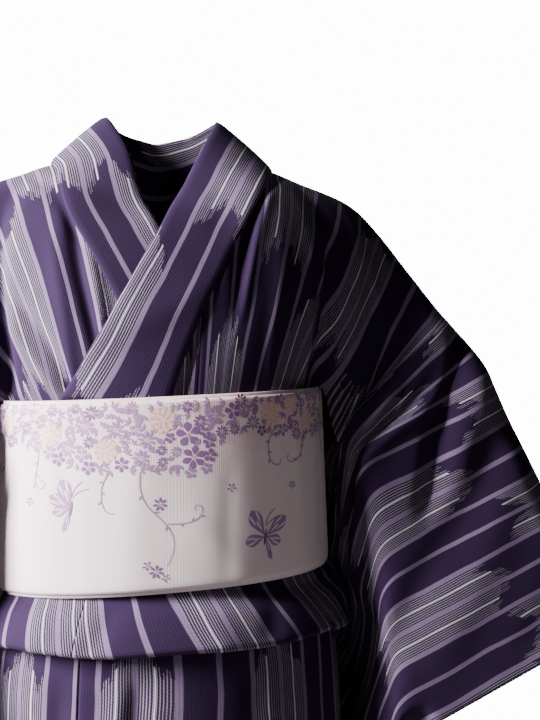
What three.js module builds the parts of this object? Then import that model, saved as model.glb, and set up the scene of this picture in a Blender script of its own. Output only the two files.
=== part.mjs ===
// Kimono with its half-width obi, in the hollow form it has when worn.
// Millimetres, +Z up, front towards -Y. The origin is the middle of the neck base,
// level with the tops of the shoulders, where the wearer carries the garment.
import * as THREE from 'three';

// ---- cloth and seams
const clothWall = 1.6;
const collarWall = 2.4;
const obiWall = 2.0;
const seamGap = 0.3;
const armholeGap = 1.6;       // measured along the arm, where the cloth lies closer together

// ---- cut of the garment
const bodyWidth = 350;      // centre back seam to sleeve seam
const sleeveWidth = 350;    // sleeve seam to cuff edge
const sleeveDrop = 483;     // top fold to bottom fold
const armholeSeam = 230;    // sleeve joined to the body below the top fold
const cuffOpening = 230;    // open part of the cuff edge
const sleeveCorner = 40;    // round of the cuff's lower corner
const backWidth = 300;      // body width behind, at the hips
const frontWidth = 245;     // body width in front, at the hips
const overlapWidth = 150;   // okumi
const hipGirth = 953;

// ---- heights
const waistZ = -236;        // the upper body ends here, inside the obi
const obiTopZ = -226;
const obiBottomZ = -395;
const obiTopSlope = 0.04;   // the obi's edges climb towards the wearer's left
const obiBottomSlope = 0.05;
const tuckTopZ = -384;
const tuckFoldZ = -446;
const skirtTopZ = -404;
const hemZ = -1290;

// ---- layers over the waist, as distances out from the inmost cloth
const underCollarLayer = 3.8;
const overLayer = 7;
const overCollarLayer = 10.6;
const skirtUnderLayer = 3;
const skirtOverLayer = 6;

// Rings round the body: half width and half depth at each height.
const bodyRings = [
  { z: hemZ, halfWidth: 156, halfDepth: 114 },
  { z: -1000, halfWidth: 166, halfDepth: 118 },
  { z: -700, halfWidth: 176, halfDepth: 122 },
  { z: -550, halfWidth: 175, halfDepth: 122 },
  { z: -446, halfWidth: 167, halfDepth: 116 },
  { z: -420, halfWidth: 157, halfDepth: 108 },
  { z: -402, halfWidth: 148, halfDepth: 99 },
  { z: waistZ, halfWidth: 145, halfDepth: 99 },
];

// Top line of shoulder and arm: `across` is the distance over the cloth from the centre back.
const topLine = [
  { across: 0, x: 0, y: 0, z: 2 },
  { across: 100, x: 101, y: 0, z: 2 },
  { across: 139, x: 138, y: 0, z: -10 },
  { across: 194, x: 190, y: -1, z: -30 },
  { across: 232, x: 218, y: -3, z: -55 },
  { across: 292, x: 255, y: -7, z: -102 },
  { across: 331, x: 278, y: -10, z: -133 },
  { across: 403, x: 324, y: -18, z: -188 },
  { across: 485, x: 359, y: -28, z: -262 },
  { across: 554, x: 388, y: -36, z: -324 },
  { across: 715, x: 450, y: -60, z: -470 },
];

// Where the front and back cloth ends beside the waist, from the side of the body to the armhole.
const sideEnds = [
  { across: 235, x: 131, y: 42, z: waistZ },
  { across: 258, x: 150, y: 36, z: -209 },
  { across: 282, x: 177, y: 34, z: -219 },
  { across: 312, x: 196, y: 32, z: -252 },
];

// Collar, wearer's left side: where its inner edge lies for each fall of its outer edge.
const collarRows = [
  { fall: -0.5, x: 0, y: 76, z: 40 },
  { fall: -0.4, x: 32, y: 63, z: 46 },
  { fall: -0.18, x: 55, y: 30, z: 54 },
  { fall: 0.06, x: 53, y: -8, z: 48 },
  { fall: 0.2, x: 36, y: -34, z: 18 },
  { fall: 0.36, x: 16, y: -56, z: -20 },
  { fall: 0.5, x: 1, y: -70, z: -48 },
  { fall: 0.6, x: -10, y: -80, z: -70 },
  { fall: 0.72, x: -29, y: -90, z: -102 },
  { fall: 0.86, x: -57, y: -96, z: -152 },
  { fall: 0.96, x: -83, y: -92, z: -197 },
  { fall: 1, x: -98, y: -86, z: -222 },
];
const crossingShift = 18;   // the bands cross this far, doubled, towards the wearer's right

const smooth = (from, to, at) => THREE.MathUtils.smoothstep(at, from, to);
const mix = THREE.MathUtils.lerp;
const vec = (x, y, z) => new THREE.Vector3(x, y, z);

// Smooth value of one column of a table, at a place along its key column (Hermite curve).
function column(table, key, name, at) {
  const up = table[0][key] < table[table.length - 1][key];
  const rows = up ? table : [...table].reverse();
  const last = rows.length - 1;
  if (at <= rows[0][key]) return rows[0][name];
  if (at >= rows[last][key]) return rows[last][name];
  let i = 0;
  while (at > rows[i + 1][key]) i += 1;
  const slope = (k) => {
    const before = rows[Math.max(k - 1, 0)];
    const after = rows[Math.min(k + 1, last)];
    return (after[name] - before[name]) / (after[key] - before[key]);
  };
  const span = rows[i + 1][key] - rows[i][key];
  const f = (at - rows[i][key]) / span;
  const rise = f * f * (3 - 2 * f);
  return mix(rows[i][name], rows[i + 1][name], rise)
    + span * f * (1 - f) * ((1 - f) * slope(i) - f * slope(i + 1));
}

const placeIn = (table, key, at) => vec(
  column(table, key, 'x', at), column(table, key, 'y', at), column(table, key, 'z', at));

// A mesh from points and triangles, turned so that its faces point out.
function solidMesh(name, points, triangles, colour, roughness) {
  let volume = 0;
  for (const [a, b, c] of triangles) {
    volume += points[a].dot(points[b].clone().cross(points[c]));
  }
  const faces = volume < 0 ? triangles.map(([a, b, c]) => [a, c, b]) : triangles;
  const geometry = new THREE.BufferGeometry();
  const coordinates = points.flatMap((p) => [p.x, p.y, p.z]);
  geometry.setAttribute('position', new THREE.Float32BufferAttribute(coordinates, 3));
  geometry.setIndex(faces.flat());
  geometry.computeVertexNormals();
  const material = new THREE.MeshStandardMaterial({ color: colour, roughness, metalness: 0 });
  const mesh = new THREE.Mesh(geometry, material);
  mesh.name = name;
  return mesh;
}

// A closed cloth wall over a grid: `face(a, b)` gives the shown face for a and b from 0 to 1, and
// the wall's thickness grows from it to the inner side. A ring joins its last column to its first.
// `inward` is 1 or -1: the side of the grid's own normal on which the cloth's inner face lies.
// `keep(a, b)` gives the way across a seam there, so that the cloth's cut edge stays square to it.
function clothSolid(name, finish, columns, rows, face, { wall, inward, ring = false, keep = null }) {
  const across = ring ? columns : columns + 1;
  const grid = [];
  for (let i = 0; i < across; i += 1) {
    for (let j = 0; j <= rows; j += 1) grid.push(face(i / columns, j / rows));
  }
  const at = (i, j) => {
    const k = ring ? (i + columns) % columns : THREE.MathUtils.clamp(i, 0, columns);
    return grid[k * (rows + 1) + THREE.MathUtils.clamp(j, 0, rows)];
  };
  const inner = grid.map((point, k) => {
    const i = Math.floor(k / (rows + 1));
    const j = k % (rows + 1);
    const alongA = at(i + 1, j).clone().sub(at(i - 1, j));
    const alongB = at(i, j + 1).clone().sub(at(i, j - 1));
    const normal = alongA.cross(alongB).normalize();
    const seam = keep && keep(i / columns, j / rows);
    if (seam) normal.projectOnPlane(seam).normalize();
    return point.clone().addScaledVector(normal, inward * wall);
  });
  const half = grid.length;
  const index = (i, j) => (ring ? i % columns : i) * (rows + 1) + j;
  const triangles = [];
  const quad = (a, b, c, d) => triangles.push([a, b, c], [a, c, d]);
  for (let i = 0; i < columns; i += 1) {
    for (let j = 0; j < rows; j += 1) {
      const [a, b, c, d] = [index(i, j), index(i + 1, j), index(i + 1, j + 1), index(i, j + 1)];
      quad(a, b, c, d);
      quad(half + a, half + d, half + c, half + b);
    }
    for (const [j, flip] of [[0, false], [rows, true]]) {
      const [a, b] = flip ? [index(i + 1, j), index(i, j)] : [index(i, j), index(i + 1, j)];
      quad(a, half + a, half + b, b);
    }
  }
  if (!ring) {
    for (let j = 0; j < rows; j += 1) {
      for (const [i, flip] of [[0, true], [columns, false]]) {
        const [a, b] = flip ? [index(i, j + 1), index(i, j)] : [index(i, j), index(i, j + 1)];
        quad(a, half + a, half + b, b);
      }
    }
  }
  return solidMesh(name, [...grid, ...inner], triangles, finish.colour, finish.roughness);
}

const kimonoFinish = { colour: 0x3b2f47, roughness: 0.85 };
const obiFinish = { colour: 0xeee2e6, roughness: 0.6 };

// ---- sleeve, wearer's left; the right one is its mirror image

const armRadius = 36;       // the top fold rounds over the arm
const clearanceSoftness = 5;
const turnLength = 46;      // cloth taken up by the turn
const hangDirection = vec(-0.16, 0.34, -0.93).normalize();
const backClearance = 16;   // the back cloth hangs this much further out, below the obi
const outwardBias = 200;    // at the bottom fold the back cloth lies outside the front cloth
const foldHalf = 7;         // half width of the bottom fold
const frontSteps = 21;
const foldGap = 0.5;        // between the sleeve's two nodes on the top fold
const bottomReach = 0.65;   // share of the bottom fold's width that the front node closes

// Where the front and the back cloth turn down beside the body, for each station along the sleeve.
const foldLine = [
  { station: 0, front: 188, back: 172 },
  { station: 60, front: 200, back: 214 },
  { station: 150, front: 220, back: 262 },
  { station: 350, front: 234, back: 288 },
];

// Nearest that a sleeve hangs to the body at each height.
const sideClearance = [
  { z: -900, x: 190 },
  { z: -560, x: 194 },
  { z: -446, x: 198 },
  { z: -390, x: 174 },
  { z: -250, x: 167 },
  { z: 0, x: 150 },
];

const armDirection = (across) => placeIn(topLine, 'across', Math.min(across + 12, 715))
  .sub(placeIn(topLine, 'across', Math.min(across + 12, 715) - 24)).normalize();

// Direction in which the cloth falls away from the arm, square to it, seen from the front.
function fallDirection(across) {
  const arm = armDirection(across);
  const out = vec(arm.z, 0, -arm.x).normalize();
  out.y = -0.09;
  return out.normalize();
}

// Gathers of the hanging part: uneven waves across the sleeve, growing down the cloth.
const gather = (station, fall) => smooth(150, 400, fall)
  * (5 * Math.sin(station / 24) + 2 * Math.sin(station / 15 + 1));

// A point of the sleeve cloth: `station` from the armhole to the cuff, `fall` down from the top
// fold, `side` 1 for the front cloth and -1 for the back.
function sleevePoint(station, fall, side) {
  const across = bodyWidth + station;
  const arm = armDirection(across);
  const fallWay = fallDirection(across);
  const outward = arm.clone().cross(fallWay).normalize();
  if (outward.y > 0) outward.negate();
  outward.multiplyScalar(side);
  const centre = placeIn(topLine, 'across', across).addScaledVector(fallWay, armRadius);
  const roundLength = armRadius * Math.PI / 2;
  const turn = Math.min(fall, roundLength) / armRadius;
  const point = centre.clone()
    .addScaledVector(fallWay, -armRadius * Math.cos(turn))
    .addScaledVector(outward, armRadius * Math.sin(turn));
  const edgeX = column(foldLine, 'station', side > 0 ? 'front' : 'back', station);
  const straight = Math.max((centre.x + outward.x * armRadius - edgeX) / -fallWay.x, 0);
  const steps = 24;
  const step = Math.max(fall - roundLength, 0) / steps;
  for (let k = 0; k < steps; k += 1) {
    const gone = (k + 0.5) * step;
    const bend = smooth(straight, straight + turnLength, gone);
    const way = fallWay.clone().lerp(hangDirection, bend).normalize();
    point.addScaledVector(way, step);
  }
  const nearest = column(sideClearance, 'z', 'x', point.z)
    + (side > 0 ? 0 : backClearance * (1 - smooth(-470, -380, point.z)));
  const room = (point.x - nearest) / clearanceSoftness;
  point.x = nearest + clearanceSoftness * Math.log(1 + Math.exp(room));
  return point;
}

// Length of the cloth at a station, shorter at the rounded corner of the cuff.
function dropAt(station) {
  const past = Math.max(station - (sleeveWidth - sleeveCorner), 0);
  return sleeveDrop - sleeveCorner + Math.sqrt(sleeveCorner ** 2 - past ** 2);
}

// The sleeve's shown face: front and back drawn together at the bottom fold, and pressed
// together along the sewn part of the cuff edge.
function sleeveFace(station, fall, side) {
  const drop = dropAt(station);
  const point = sleevePoint(station, fall, side);
  const ends = [1, -1].map((s) => sleevePoint(station, drop, s));
  const bottom = ends[0].clone().lerp(ends[1], 0.5);
  const own = ends[side > 0 ? 0 : 1];
  const towards = own.clone().sub(bottom).add(vec(-outwardBias * side, 0, 0)).setLength(foldHalf);
  const closing = smooth(drop - 220, drop - 6, fall);
  point.addScaledVector(bottom.clone().add(towards).sub(own), closing);
  const sewn = smooth(sleeveWidth - 26, sleeveWidth - 2, station)
    * smooth(cuffOpening, cuffOpening + 40, fall);
  if (sewn > 0) {
    const other = sleevePoint(station, fall, -side);
    const otherOwn = ends[side > 0 ? 1 : 0];
    other.addScaledVector(bottom.clone().sub(towards).sub(otherOwn), closing);
    const middle = point.clone().lerp(other, 0.5);
    const apart = point.clone().sub(middle).normalize().multiplyScalar(2.4);
    point.lerp(middle.add(apart), sewn);
  }
  point.x += gather(station, fall) * (1 - 0.6 * smooth(sleeveWidth - 60, sleeveWidth, station));
  return point;
}

// The way across the armhole seam, at a fall down the sleeve.
function seamWay(fall, side, mirror) {
  const way = sleevePoint(3, fall, side).sub(sleevePoint(0, fall, side));
  way.x *= mirror;
  return way.normalize();
}

// The sleeve as two nodes that meet on the top fold. The front one also closes the bottom fold.
function sleevePanel(name, mirror, side) {
  const stations = 12;
  const columns = frontSteps + (side > 0 ? 1 : 0);
  const fallOf = (a, drop) => mix(side > 0 ? 0 : foldGap, drop,
    Math.min(Math.round(a * columns) / frontSteps, 1));
  const face = (a, b) => {
    const station = mix(armholeGap, sleeveWidth, b);
    const drop = dropAt(station);
    const point = sleeveFace(station, fallOf(a, drop), side);
    if (Math.round(a * columns) > frontSteps) point.lerp(sleeveFace(station, drop, -side), bottomReach);
    point.x *= mirror;
    return point;
  };
  const keep = (a, b) => (b < 0.01 ? seamWay(fallOf(a, sleeveDrop), side, mirror) : null);
  return clothSolid(name, kimonoFinish, columns, stations, face,
    { wall: clothWall, inward: side * mirror, keep });
}

// ---- upper body

const bezier = (a, b, c, d, f) => a.clone().multiplyScalar((1 - f) ** 3)
  .addScaledVector(b, 3 * f * (1 - f) ** 2)
  .addScaledVector(c, 3 * f * f * (1 - f))
  .addScaledVector(d, f ** 3);

const sideAcross = 262;     // cloth that would reach the side line of the waist ring

// Where a warp thread of the body cloth ends at the waist, or beside it.
function lowerEnd(across, side) {
  const size = Math.abs(across);
  const seam = sleevePoint(0, armholeSeam, side);
  if (size <= 235) {
    const sine = across / sideAcross;
    return vec(145 * sine, -side * 99 * Math.sqrt(1 - sine * sine), waistZ);
  }
  const rows = [...sideEnds.map((row) => ({ ...row, y: row.y * -side })),
    { across: bodyWidth, x: seam.x, y: seam.y, z: seam.z }];
  return placeIn(rows, 'across', size);
}

// A point of the upper body cloth, wearer's left: `across` from the centre back over the width,
// `fall` from 0 on the shoulder to 1 at the waist, `side` 1 in front and -1 behind.
function bodyPoint(across, fall, side) {
  const size = Math.abs(across);
  const top = placeIn(topLine, 'across', size);
  if (across < 0) top.x *= -1;
  const end = lowerEnd(across, side);
  const outer = smooth(100, 250, size);
  const bulge = side > 0 ? mix(70, 44, outer) : mix(95, 48, outer);
  const depth = side > 0 ? mix(-112, -62, outer) : mix(134, 70, outer);
  const drop = side > 0 ? mix(-110, -165, outer) : mix(-62, -150, outer);
  const first = vec(top.x, -side * bulge, top.z + (side > 0 ? 0 : mix(18, -6, outer)));
  const second = vec(0.74 * across, depth, drop);
  const plain = bezier(top, first, second, end, fall);
  const joined = smooth(262, bodyWidth, size);
  if (joined === 0) return plain;
  const edge = bezier(
    ...[top, first, second, end].map((p, k) => (k === 0 ? placeIn(topLine, 'across', bodyWidth) : p)),
    fall);
  const seam = sleevePoint(0, fall * armholeSeam, side);
  return plain.lerp(seam.add(plain.clone().sub(edge).multiplyScalar(1 - joined)), joined);
}

// The same point moved out by `layer` along the cloth's own normal.
function bodyLayer(across, fall, side, layer) {
  const point = bodyPoint(across, fall, side);
  const low = Math.max(fall - 0.01, 0);
  const high = Math.min(fall + 0.01, 1);
  const sideways = bodyPoint(across + 2, fall, side).sub(bodyPoint(across - 2, fall, side));
  const downwards = bodyPoint(across, high, side).sub(bodyPoint(across, low, side));
  const normal = sideways.cross(downwards).normalize();
  return point.addScaledVector(normal, -side * layer);
}

// Across value of a point on the chest with a given x, and the fall of a given height.
const chestShrink = (fall) => 1.01 * ((1 - fall) ** 3 + 3 * fall * (1 - fall) ** 2)
  + 0.74 * 3 * fall * fall * (1 - fall) + (145 / sideAcross) * fall ** 3;
const acrossAt = (x, fall) => x / chestShrink(fall);

function fallAt(z) {
  let low = 0;
  let high = 1;
  for (let k = 0; k < 24; k += 1) {
    const middle = (low + high) / 2;
    if (bodyPoint(0, middle, 1).z > z) low = middle;
    else high = middle;
  }
  return (low + high) / 2;
}

// The neckline on the body cloth: across value of the cut edge for a signed fall, negative behind.
const collarStart = -0.5;   // fall of the neckline at the centre back
const necklineFalls = [
  { fall: -0.5, across: 0 },
  { fall: -0.47, across: 24 },
  { fall: -0.44, across: 42 },
  { fall: -0.4, across: 59 },
  { fall: -0.3, across: 80 },
  { fall: -0.2, across: 90 },
  { fall: 0, across: 98 },
  { fall: 0.12, across: 97 },
  { fall: 0.3, across: 88 },
  { fall: 0.47, across: 72 },
  { fall: 0.67, across: 43 },
  { fall: 0.88, across: 3 },
  { fall: 1, across: -20 },
];
const sideShift = (fall, mirror) => (mirror < 0 ? crossingShift * smooth(0.15, 0.5, fall) : 0);
const neckline = (fall, mirror) => (fall < collarStart ? 0
  : column(necklineFalls, 'fall', 'across', fall) + sideShift(fall, mirror) / chestShrink(fall));
const overlapTip = 0.7;     // fall at which the front overlap starts
const neckCover = 0.02;     // fall by which the band covers the body's cut behind the neck
const overlapSeam = (mirror) => neckline(overlapTip, mirror);

// Where the body cloth is cut for the neck: a little inside the band's outer edge behind.
const neckCut = (signed, mirror) => (signed > overlapTip + 0.01 ? overlapSeam(mirror)
  : neckline(signed - neckCover * smooth(0.2, 0.4, -signed), mirror));

function bodyUpper(name, mirror, layer) {
  const columns = 13;
  const falls = [-1, -0.9, -0.8, -0.7, -0.6, -0.5, -0.47, -0.44, -0.4, -0.3, -0.2, -0.1,
    0, 0.1, 0.2, 0.3, 0.4, 0.5, 0.6, 0.7, 0.8, 0.9, 1];
  const face = (a, b) => {
    const signed = falls[Math.round(b * (falls.length - 1))];
    const side = signed >= 0 ? 1 : -1;
    const across = mix(neckCut(signed, mirror) + seamGap / 2, bodyWidth, a ** 0.9);
    const lift = side > 0 ? layer * smooth(0.2, 0.5, signed) * (1 - smooth(170, 250, across)) : 0;
    const point = bodyLayer(across, Math.abs(signed), side, lift);
    point.x *= mirror;
    return point;
  };
  const keep = (a, b) => {
    const signed = falls[Math.round(b * (falls.length - 1))];
    return a > 0.99 ? seamWay(Math.abs(signed) * armholeSeam, signed >= 0 ? 1 : -1, mirror) : null;
  };
  return clothSolid(name, kimonoFinish, columns, falls.length - 1, face,
    { wall: clothWall, inward: mirror, keep });
}

function okumiUpper(name, mirror, layer) {
  const face = (a, b) => {
    const fall = mix(overlapTip + 0.01, 1, b);
    const across = mix(neckline(fall, mirror), overlapSeam(mirror) - seamGap, a);
    const point = bodyLayer(across, fall, 1, layer);
    point.x *= mirror;
    return point;
  };
  return clothSolid(name, kimonoFinish, 3, 6, face, { wall: clothWall, inward: mirror });
}

// ---- collar: one band from the right front, round the back of the neck, to the left front

const seamCover = 4;        // the band covers the body's raw edge by this much
const standing = 3;         // the band bows outwards by this much where it stands off the neck

// A point of the band: `fall` of its outer edge, `share` from the outer edge to the inner one.
function collarPoint(fall, share, mirror) {
  const side = fall >= 0 ? 1 : -1;
  const chestLayer = mirror > 0 ? overCollarLayer : underCollarLayer;
  const layer = mix(5.2, chestLayer, smooth(0.15, 0.45, fall))
    - (mirror < 0 ? 2.6 * share * smooth(0.6, 0.9, fall) : 0);
  const edge = neckline(fall, mirror) + seamCover * smooth(collarStart, collarStart + 0.05, fall);
  const outer = bodyLayer(edge, Math.abs(fall), side, layer);
  const inner = placeIn(collarRows, 'fall', fall);
  inner.x += sideShift(fall, mirror);
  const stand = outer.clone().lerp(inner, share);
  stand.z += standing * 4 * share * (1 - share);
  const laid = smooth(0.36, 0.6, fall);
  if (laid > 0) {
    const innerFall = fallAt(inner.z);
    const across = mix(edge, acrossAt(inner.x, innerFall), share);
    stand.lerp(bodyLayer(across, mix(fall, innerFall, share), 1, layer), laid);
  }
  stand.x *= mirror;
  return stand;
}

function collar() {
  const rows = 44;
  const face = (a, b) => {
    const place = b * 2 - 1;
    const fall = mix(collarStart, 1, Math.abs(place) ** 0.9);
    return collarPoint(fall, a, place < 0 ? -1 : 1);
  };
  return clothSolid('collar', kimonoFinish, 3, rows, face, { wall: collarWall, inward: -1 });
}

// ---- skirt, tuck and obi: rings round the body

// A point on the ring at a height: `girth` is the distance round from the centre back, towards
// the wearer's left, for a garment of the nominal hip girth.
const squareness = 2.25;
function ringPoint(girth, z, layer) {
  const angle = 2 * Math.PI * girth / hipGirth;
  const round = (value) => Math.sign(value) * Math.abs(value) ** (2 / squareness);
  return vec(
    (column(bodyRings, 'z', 'halfWidth', z) + layer) * round(Math.sin(angle)),
    (column(bodyRings, 'z', 'halfDepth', z) + layer) * round(Math.cos(angle)),
    z);
}

// The way round the body at a panel's two side edges, for its cut edges.
const edgeWays = (from, to) => (a) => {
  if (a > 0.01 && a < 0.99) return null;
  const girth = a < 0.5 ? from : to;
  return ringPoint(girth + 1, hemZ, 0).sub(ringPoint(girth - 1, hemZ, 0)).normalize();
};

// A skirt panel between two girths, from inside the obi to the hem.
function skirtPanel(name, from, to, layer, columns) {
  const heights = [skirtTopZ, -416, -436, -450, -500, -600, -760, -1000, hemZ];
  const face = (a, b) => {
    const z = heights[Math.round(b * (heights.length - 1))];
    return ringPoint(mix(from + seamGap / 2, to - seamGap / 2, a), z, layer);
  };
  return clothSolid(name, kimonoFinish, columns, heights.length - 1, face,
    { wall: clothWall, inward: 1, keep: edgeWays(from, to) });
}

// The tuck's cloth falls from under the obi, folds, and goes up again inside.
const tuckPath = [
  { z: tuckTopZ, layer: 8 },
  { z: -407, layer: 9.5 },
  { z: -424, layer: 18 },
  { z: -440, layer: 21.5 },
  { z: tuckFoldZ + 2, layer: 21.5 },
  { z: tuckFoldZ, layer: 18 },
  { z: tuckFoldZ + 2, layer: 14.5 },
  { z: -436, layer: 12.5 },
  { z: -416, layer: 11 },
];
function tuckPanel(name, from, to, columns) {
  const face = (a, b) => {
    const row = tuckPath[Math.round(b * (tuckPath.length - 1))];
    return ringPoint(mix(from + seamGap / 2, to - seamGap / 2, a), row.z, row.layer);
  };
  return clothSolid(name, kimonoFinish, columns, tuckPath.length - 1, face,
    { wall: clothWall, inward: 1, keep: edgeWays(from, to) });
}

const obiTop = (x) => obiTopZ + obiTopSlope * x;
const obiBottom = (x) => obiBottomZ + obiBottomSlope * x;
const obiRing = { halfWidth: 158, halfDepth: 116.5, lowerGain: 7 };

// One turn of the obi: `inset` is how far it lies inside the outer turn, `peek` how far its
// edges stand past the outer turn's.
function obiTurn(name, inset, peek) {
  const face = (a, b) => {
    const angle = a * 2 * Math.PI;
    const round = (value) => Math.sign(value) * Math.abs(value) ** (2 / squareness);
    const gain = obiRing.lowerGain * b;
    const x = (obiRing.halfWidth + gain - inset) * round(Math.sin(angle));
    const y = (obiRing.halfDepth + gain * 0.3 - inset) * round(Math.cos(angle));
    return vec(x, y, mix(obiTop(x) + peek, obiBottom(x) - peek, b));
  };
  return clothSolid(name, obiFinish, 44, 2, face, { wall: obiWall, inward: 1, ring: true });
}

// ---- bow at the back: two loops gathered by a knot

const bowZ = -300;
const bowReach = 158;
const bowHeight = 168;
const bowBackY = 119.6;
const bowDepth = 42;
const knotWidth = 62;
const knotHeight = 96;

// A loop leaves the knot at the outside, turns at its tip and comes back against the obi.
function bowLoop(name, mirror) {
  const face = (a, b) => {
    const outer = a < 0.5;
    const away = (1 + Math.cos(a * Math.PI)) / 2;
    const reach = Math.sin(a * Math.PI) ** 0.8;
    const spread = smooth(0.22, 0.9, reach);
    const pinch = 9 * Math.abs(Math.cos(a * Math.PI)) * (1 - reach);
    const lean = (outer ? -12 : 1.8) * spread;
    const height = mix(knotHeight - 22, bowHeight, spread);
    return vec(
      mirror * mix(4, bowReach, reach),
      bowBackY + 6 + (bowDepth - 8 - pinch) * away + lean + 6 * (b - 0.5) * spread,
      bowZ - 26 * spread * reach + height * (0.5 - b));
  };
  return clothSolid(name, obiFinish, 20, 6, face, { wall: obiWall, inward: -mirror });
}

function bowKnot() {
  const face = (a, b) => {
    const angle = a * 2 * Math.PI;
    const round = (value) => Math.sign(value) * Math.abs(value) ** 0.5;
    const y = bowBackY + bowDepth / 2 + 4 + (bowDepth / 2 + 4) * round(Math.cos(angle));
    const z = bowZ + (knotHeight / 2) * round(Math.sin(angle));
    return vec((b - 0.5) * knotWidth, y, z);
  };
  return clothSolid('obi_bow_knot', obiFinish, 24, 3, face, { wall: obiWall, inward: -1, ring: true });
}

// ---- the garment

const sideSeam = backWidth;
const frontSeam = backWidth + frontWidth;
const frontEdge = frontSeam + overlapWidth;

const kimono = new THREE.Group();
kimono.add(
  bodyUpper('body_left_upper', 1, overLayer),
  bodyUpper('body_right_upper', -1, 0),
  okumiUpper('okumi_left_upper', 1, overLayer),
  okumiUpper('okumi_right_upper', -1, 0),
  collar(),
  sleevePanel('sleeve_left_front', 1, 1),
  sleevePanel('sleeve_left_back', 1, -1),
  sleevePanel('sleeve_right_front', -1, 1),
  sleevePanel('sleeve_right_back', -1, -1),
  skirtPanel('skirt_back_left', 0, sideSeam, 0, 8),
  skirtPanel('skirt_back_right', -sideSeam, 0, 0, 8),
  skirtPanel('skirt_front_right', -frontSeam, -sideSeam, skirtUnderLayer, 8),
  skirtPanel('skirt_okumi_right', -frontEdge, -frontSeam, skirtUnderLayer, 5),
  skirtPanel('skirt_front_left', sideSeam, frontSeam, skirtOverLayer, 8),
  skirtPanel('skirt_okumi_left', frontSeam, frontEdge, skirtOverLayer, 5),
  tuckPanel('tuck_back_left', 0, sideSeam, 8),
  tuckPanel('tuck_back_right', -sideSeam, 0, 8),
  tuckPanel('tuck_front_left', sideSeam, frontSeam, 8),
  tuckPanel('tuck_okumi_left', frontSeam, hipGirth - sideSeam, 5),
  obiTurn('obi_wrap_inner', 2.6, 3.5),
  obiTurn('obi_wrap_outer', 0, 0),
  bowLoop('obi_bow_left', 1),
  bowLoop('obi_bow_right', -1),
  bowKnot(),
);

export default kimono;
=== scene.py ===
# Kimono with its half-width obi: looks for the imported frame.
# Front towards -Y, +Z up, metres; every surface is worked out in millimetres and scaled once.
import math
import bpy
import numpy as np
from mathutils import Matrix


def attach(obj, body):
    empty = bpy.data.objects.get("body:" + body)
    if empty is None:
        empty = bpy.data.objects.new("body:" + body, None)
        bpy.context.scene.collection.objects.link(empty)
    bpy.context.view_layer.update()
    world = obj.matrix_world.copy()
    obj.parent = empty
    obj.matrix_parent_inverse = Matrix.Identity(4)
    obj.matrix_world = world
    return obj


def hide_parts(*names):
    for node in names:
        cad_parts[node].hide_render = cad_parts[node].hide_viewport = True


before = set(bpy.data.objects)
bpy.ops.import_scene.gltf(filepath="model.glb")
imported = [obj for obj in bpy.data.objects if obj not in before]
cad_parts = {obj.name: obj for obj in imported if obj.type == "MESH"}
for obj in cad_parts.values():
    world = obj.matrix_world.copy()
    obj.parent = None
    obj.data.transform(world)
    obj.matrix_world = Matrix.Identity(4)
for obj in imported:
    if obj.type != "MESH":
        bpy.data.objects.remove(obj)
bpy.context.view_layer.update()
metre = 0.001
print("frame loaded", len(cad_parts), "nodes")


# small helpers

def smoothStep(start, end, at):
    # 0 before start, 1 after end, an S curve between
    f = np.clip((np.asarray(at, float) - start) / (end - start), 0, 1)
    return f * f * (3 - 2 * f)


def mix(a, b, f):
    # a at share 0, b at share 1, straight between them
    return a + (b - a) * f


def tableColumn(table, key, name, at):
    # smooth curve through a table's column: a cubic between rows, with slopes from their neighbours
    rows = sorted(table, key=lambda row: row[key])
    xs = np.array([row[key] for row in rows], float)
    ys = np.array([row[name] for row in rows], float)
    before = np.maximum(np.arange(len(xs)) - 1, 0)
    after = np.minimum(np.arange(len(xs)) + 1, len(xs) - 1)
    slopes = (ys[after] - ys[before]) / (xs[after] - xs[before])
    at = np.clip(np.asarray(at, float), xs[0], xs[-1])
    i = np.clip(np.searchsorted(xs, at, side="right") - 1, 0, len(xs) - 2)
    span = xs[i + 1] - xs[i]
    f = (at - xs[i]) / span
    rise = f * f * (3 - 2 * f)
    bow = span * f * (1 - f) * ((1 - f) * slopes[i] - f * slopes[i + 1])
    return mix(ys[i], ys[i + 1], rise) + bow


def vec(x, y, z):
    # three coordinates side by side in a new last axis
    return np.stack(np.broadcast_arrays(*[np.asarray(part, float) for part in (x, y, z)]), -1)


def unit(v):
    # each vector divided by its own length
    return v / np.maximum(np.linalg.norm(v, axis=-1, keepdims=True), 1e-9)


def placeIn(table, key, at):
    # the point on the smooth curve through a table's x, y and z columns
    return vec(*[tableColumn(table, key, name, at) for name in ("x", "y", "z")])


def table(names, *rows):
    # short rows of values, each made a dictionary with the named columns
    return [dict(zip(names.split(), row)) for row in rows]


# cut and form, as in the frame's solids

cut = {
    "wall": 1.6, "collarWall": 2.4, "obiWall": 2.0, "seamGap": 0.3, "armholeGap": 0.6,
    "bodyWidth": 350, "sleeveWidth": 350, "sleeveDrop": 483, "armholeSeam": 230,
    "cuffOpening": 230, "sleeveCorner": 40, "backWidth": 300, "frontWidth": 245,
    "overlapWidth": 150, "hipGirth": 953, "waistZ": -236, "hemZ": -1290,
    "waistHalfWidth": 145, "waistHalfDepth": 99, "warpLength": 262,
    "overLayer": 7.0, "underCollar": 3.8, "overCollar": 10.6, "underShift": 18, "skirtUnder": 3.0,
    "skirtOver": 6.0,
}

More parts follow.
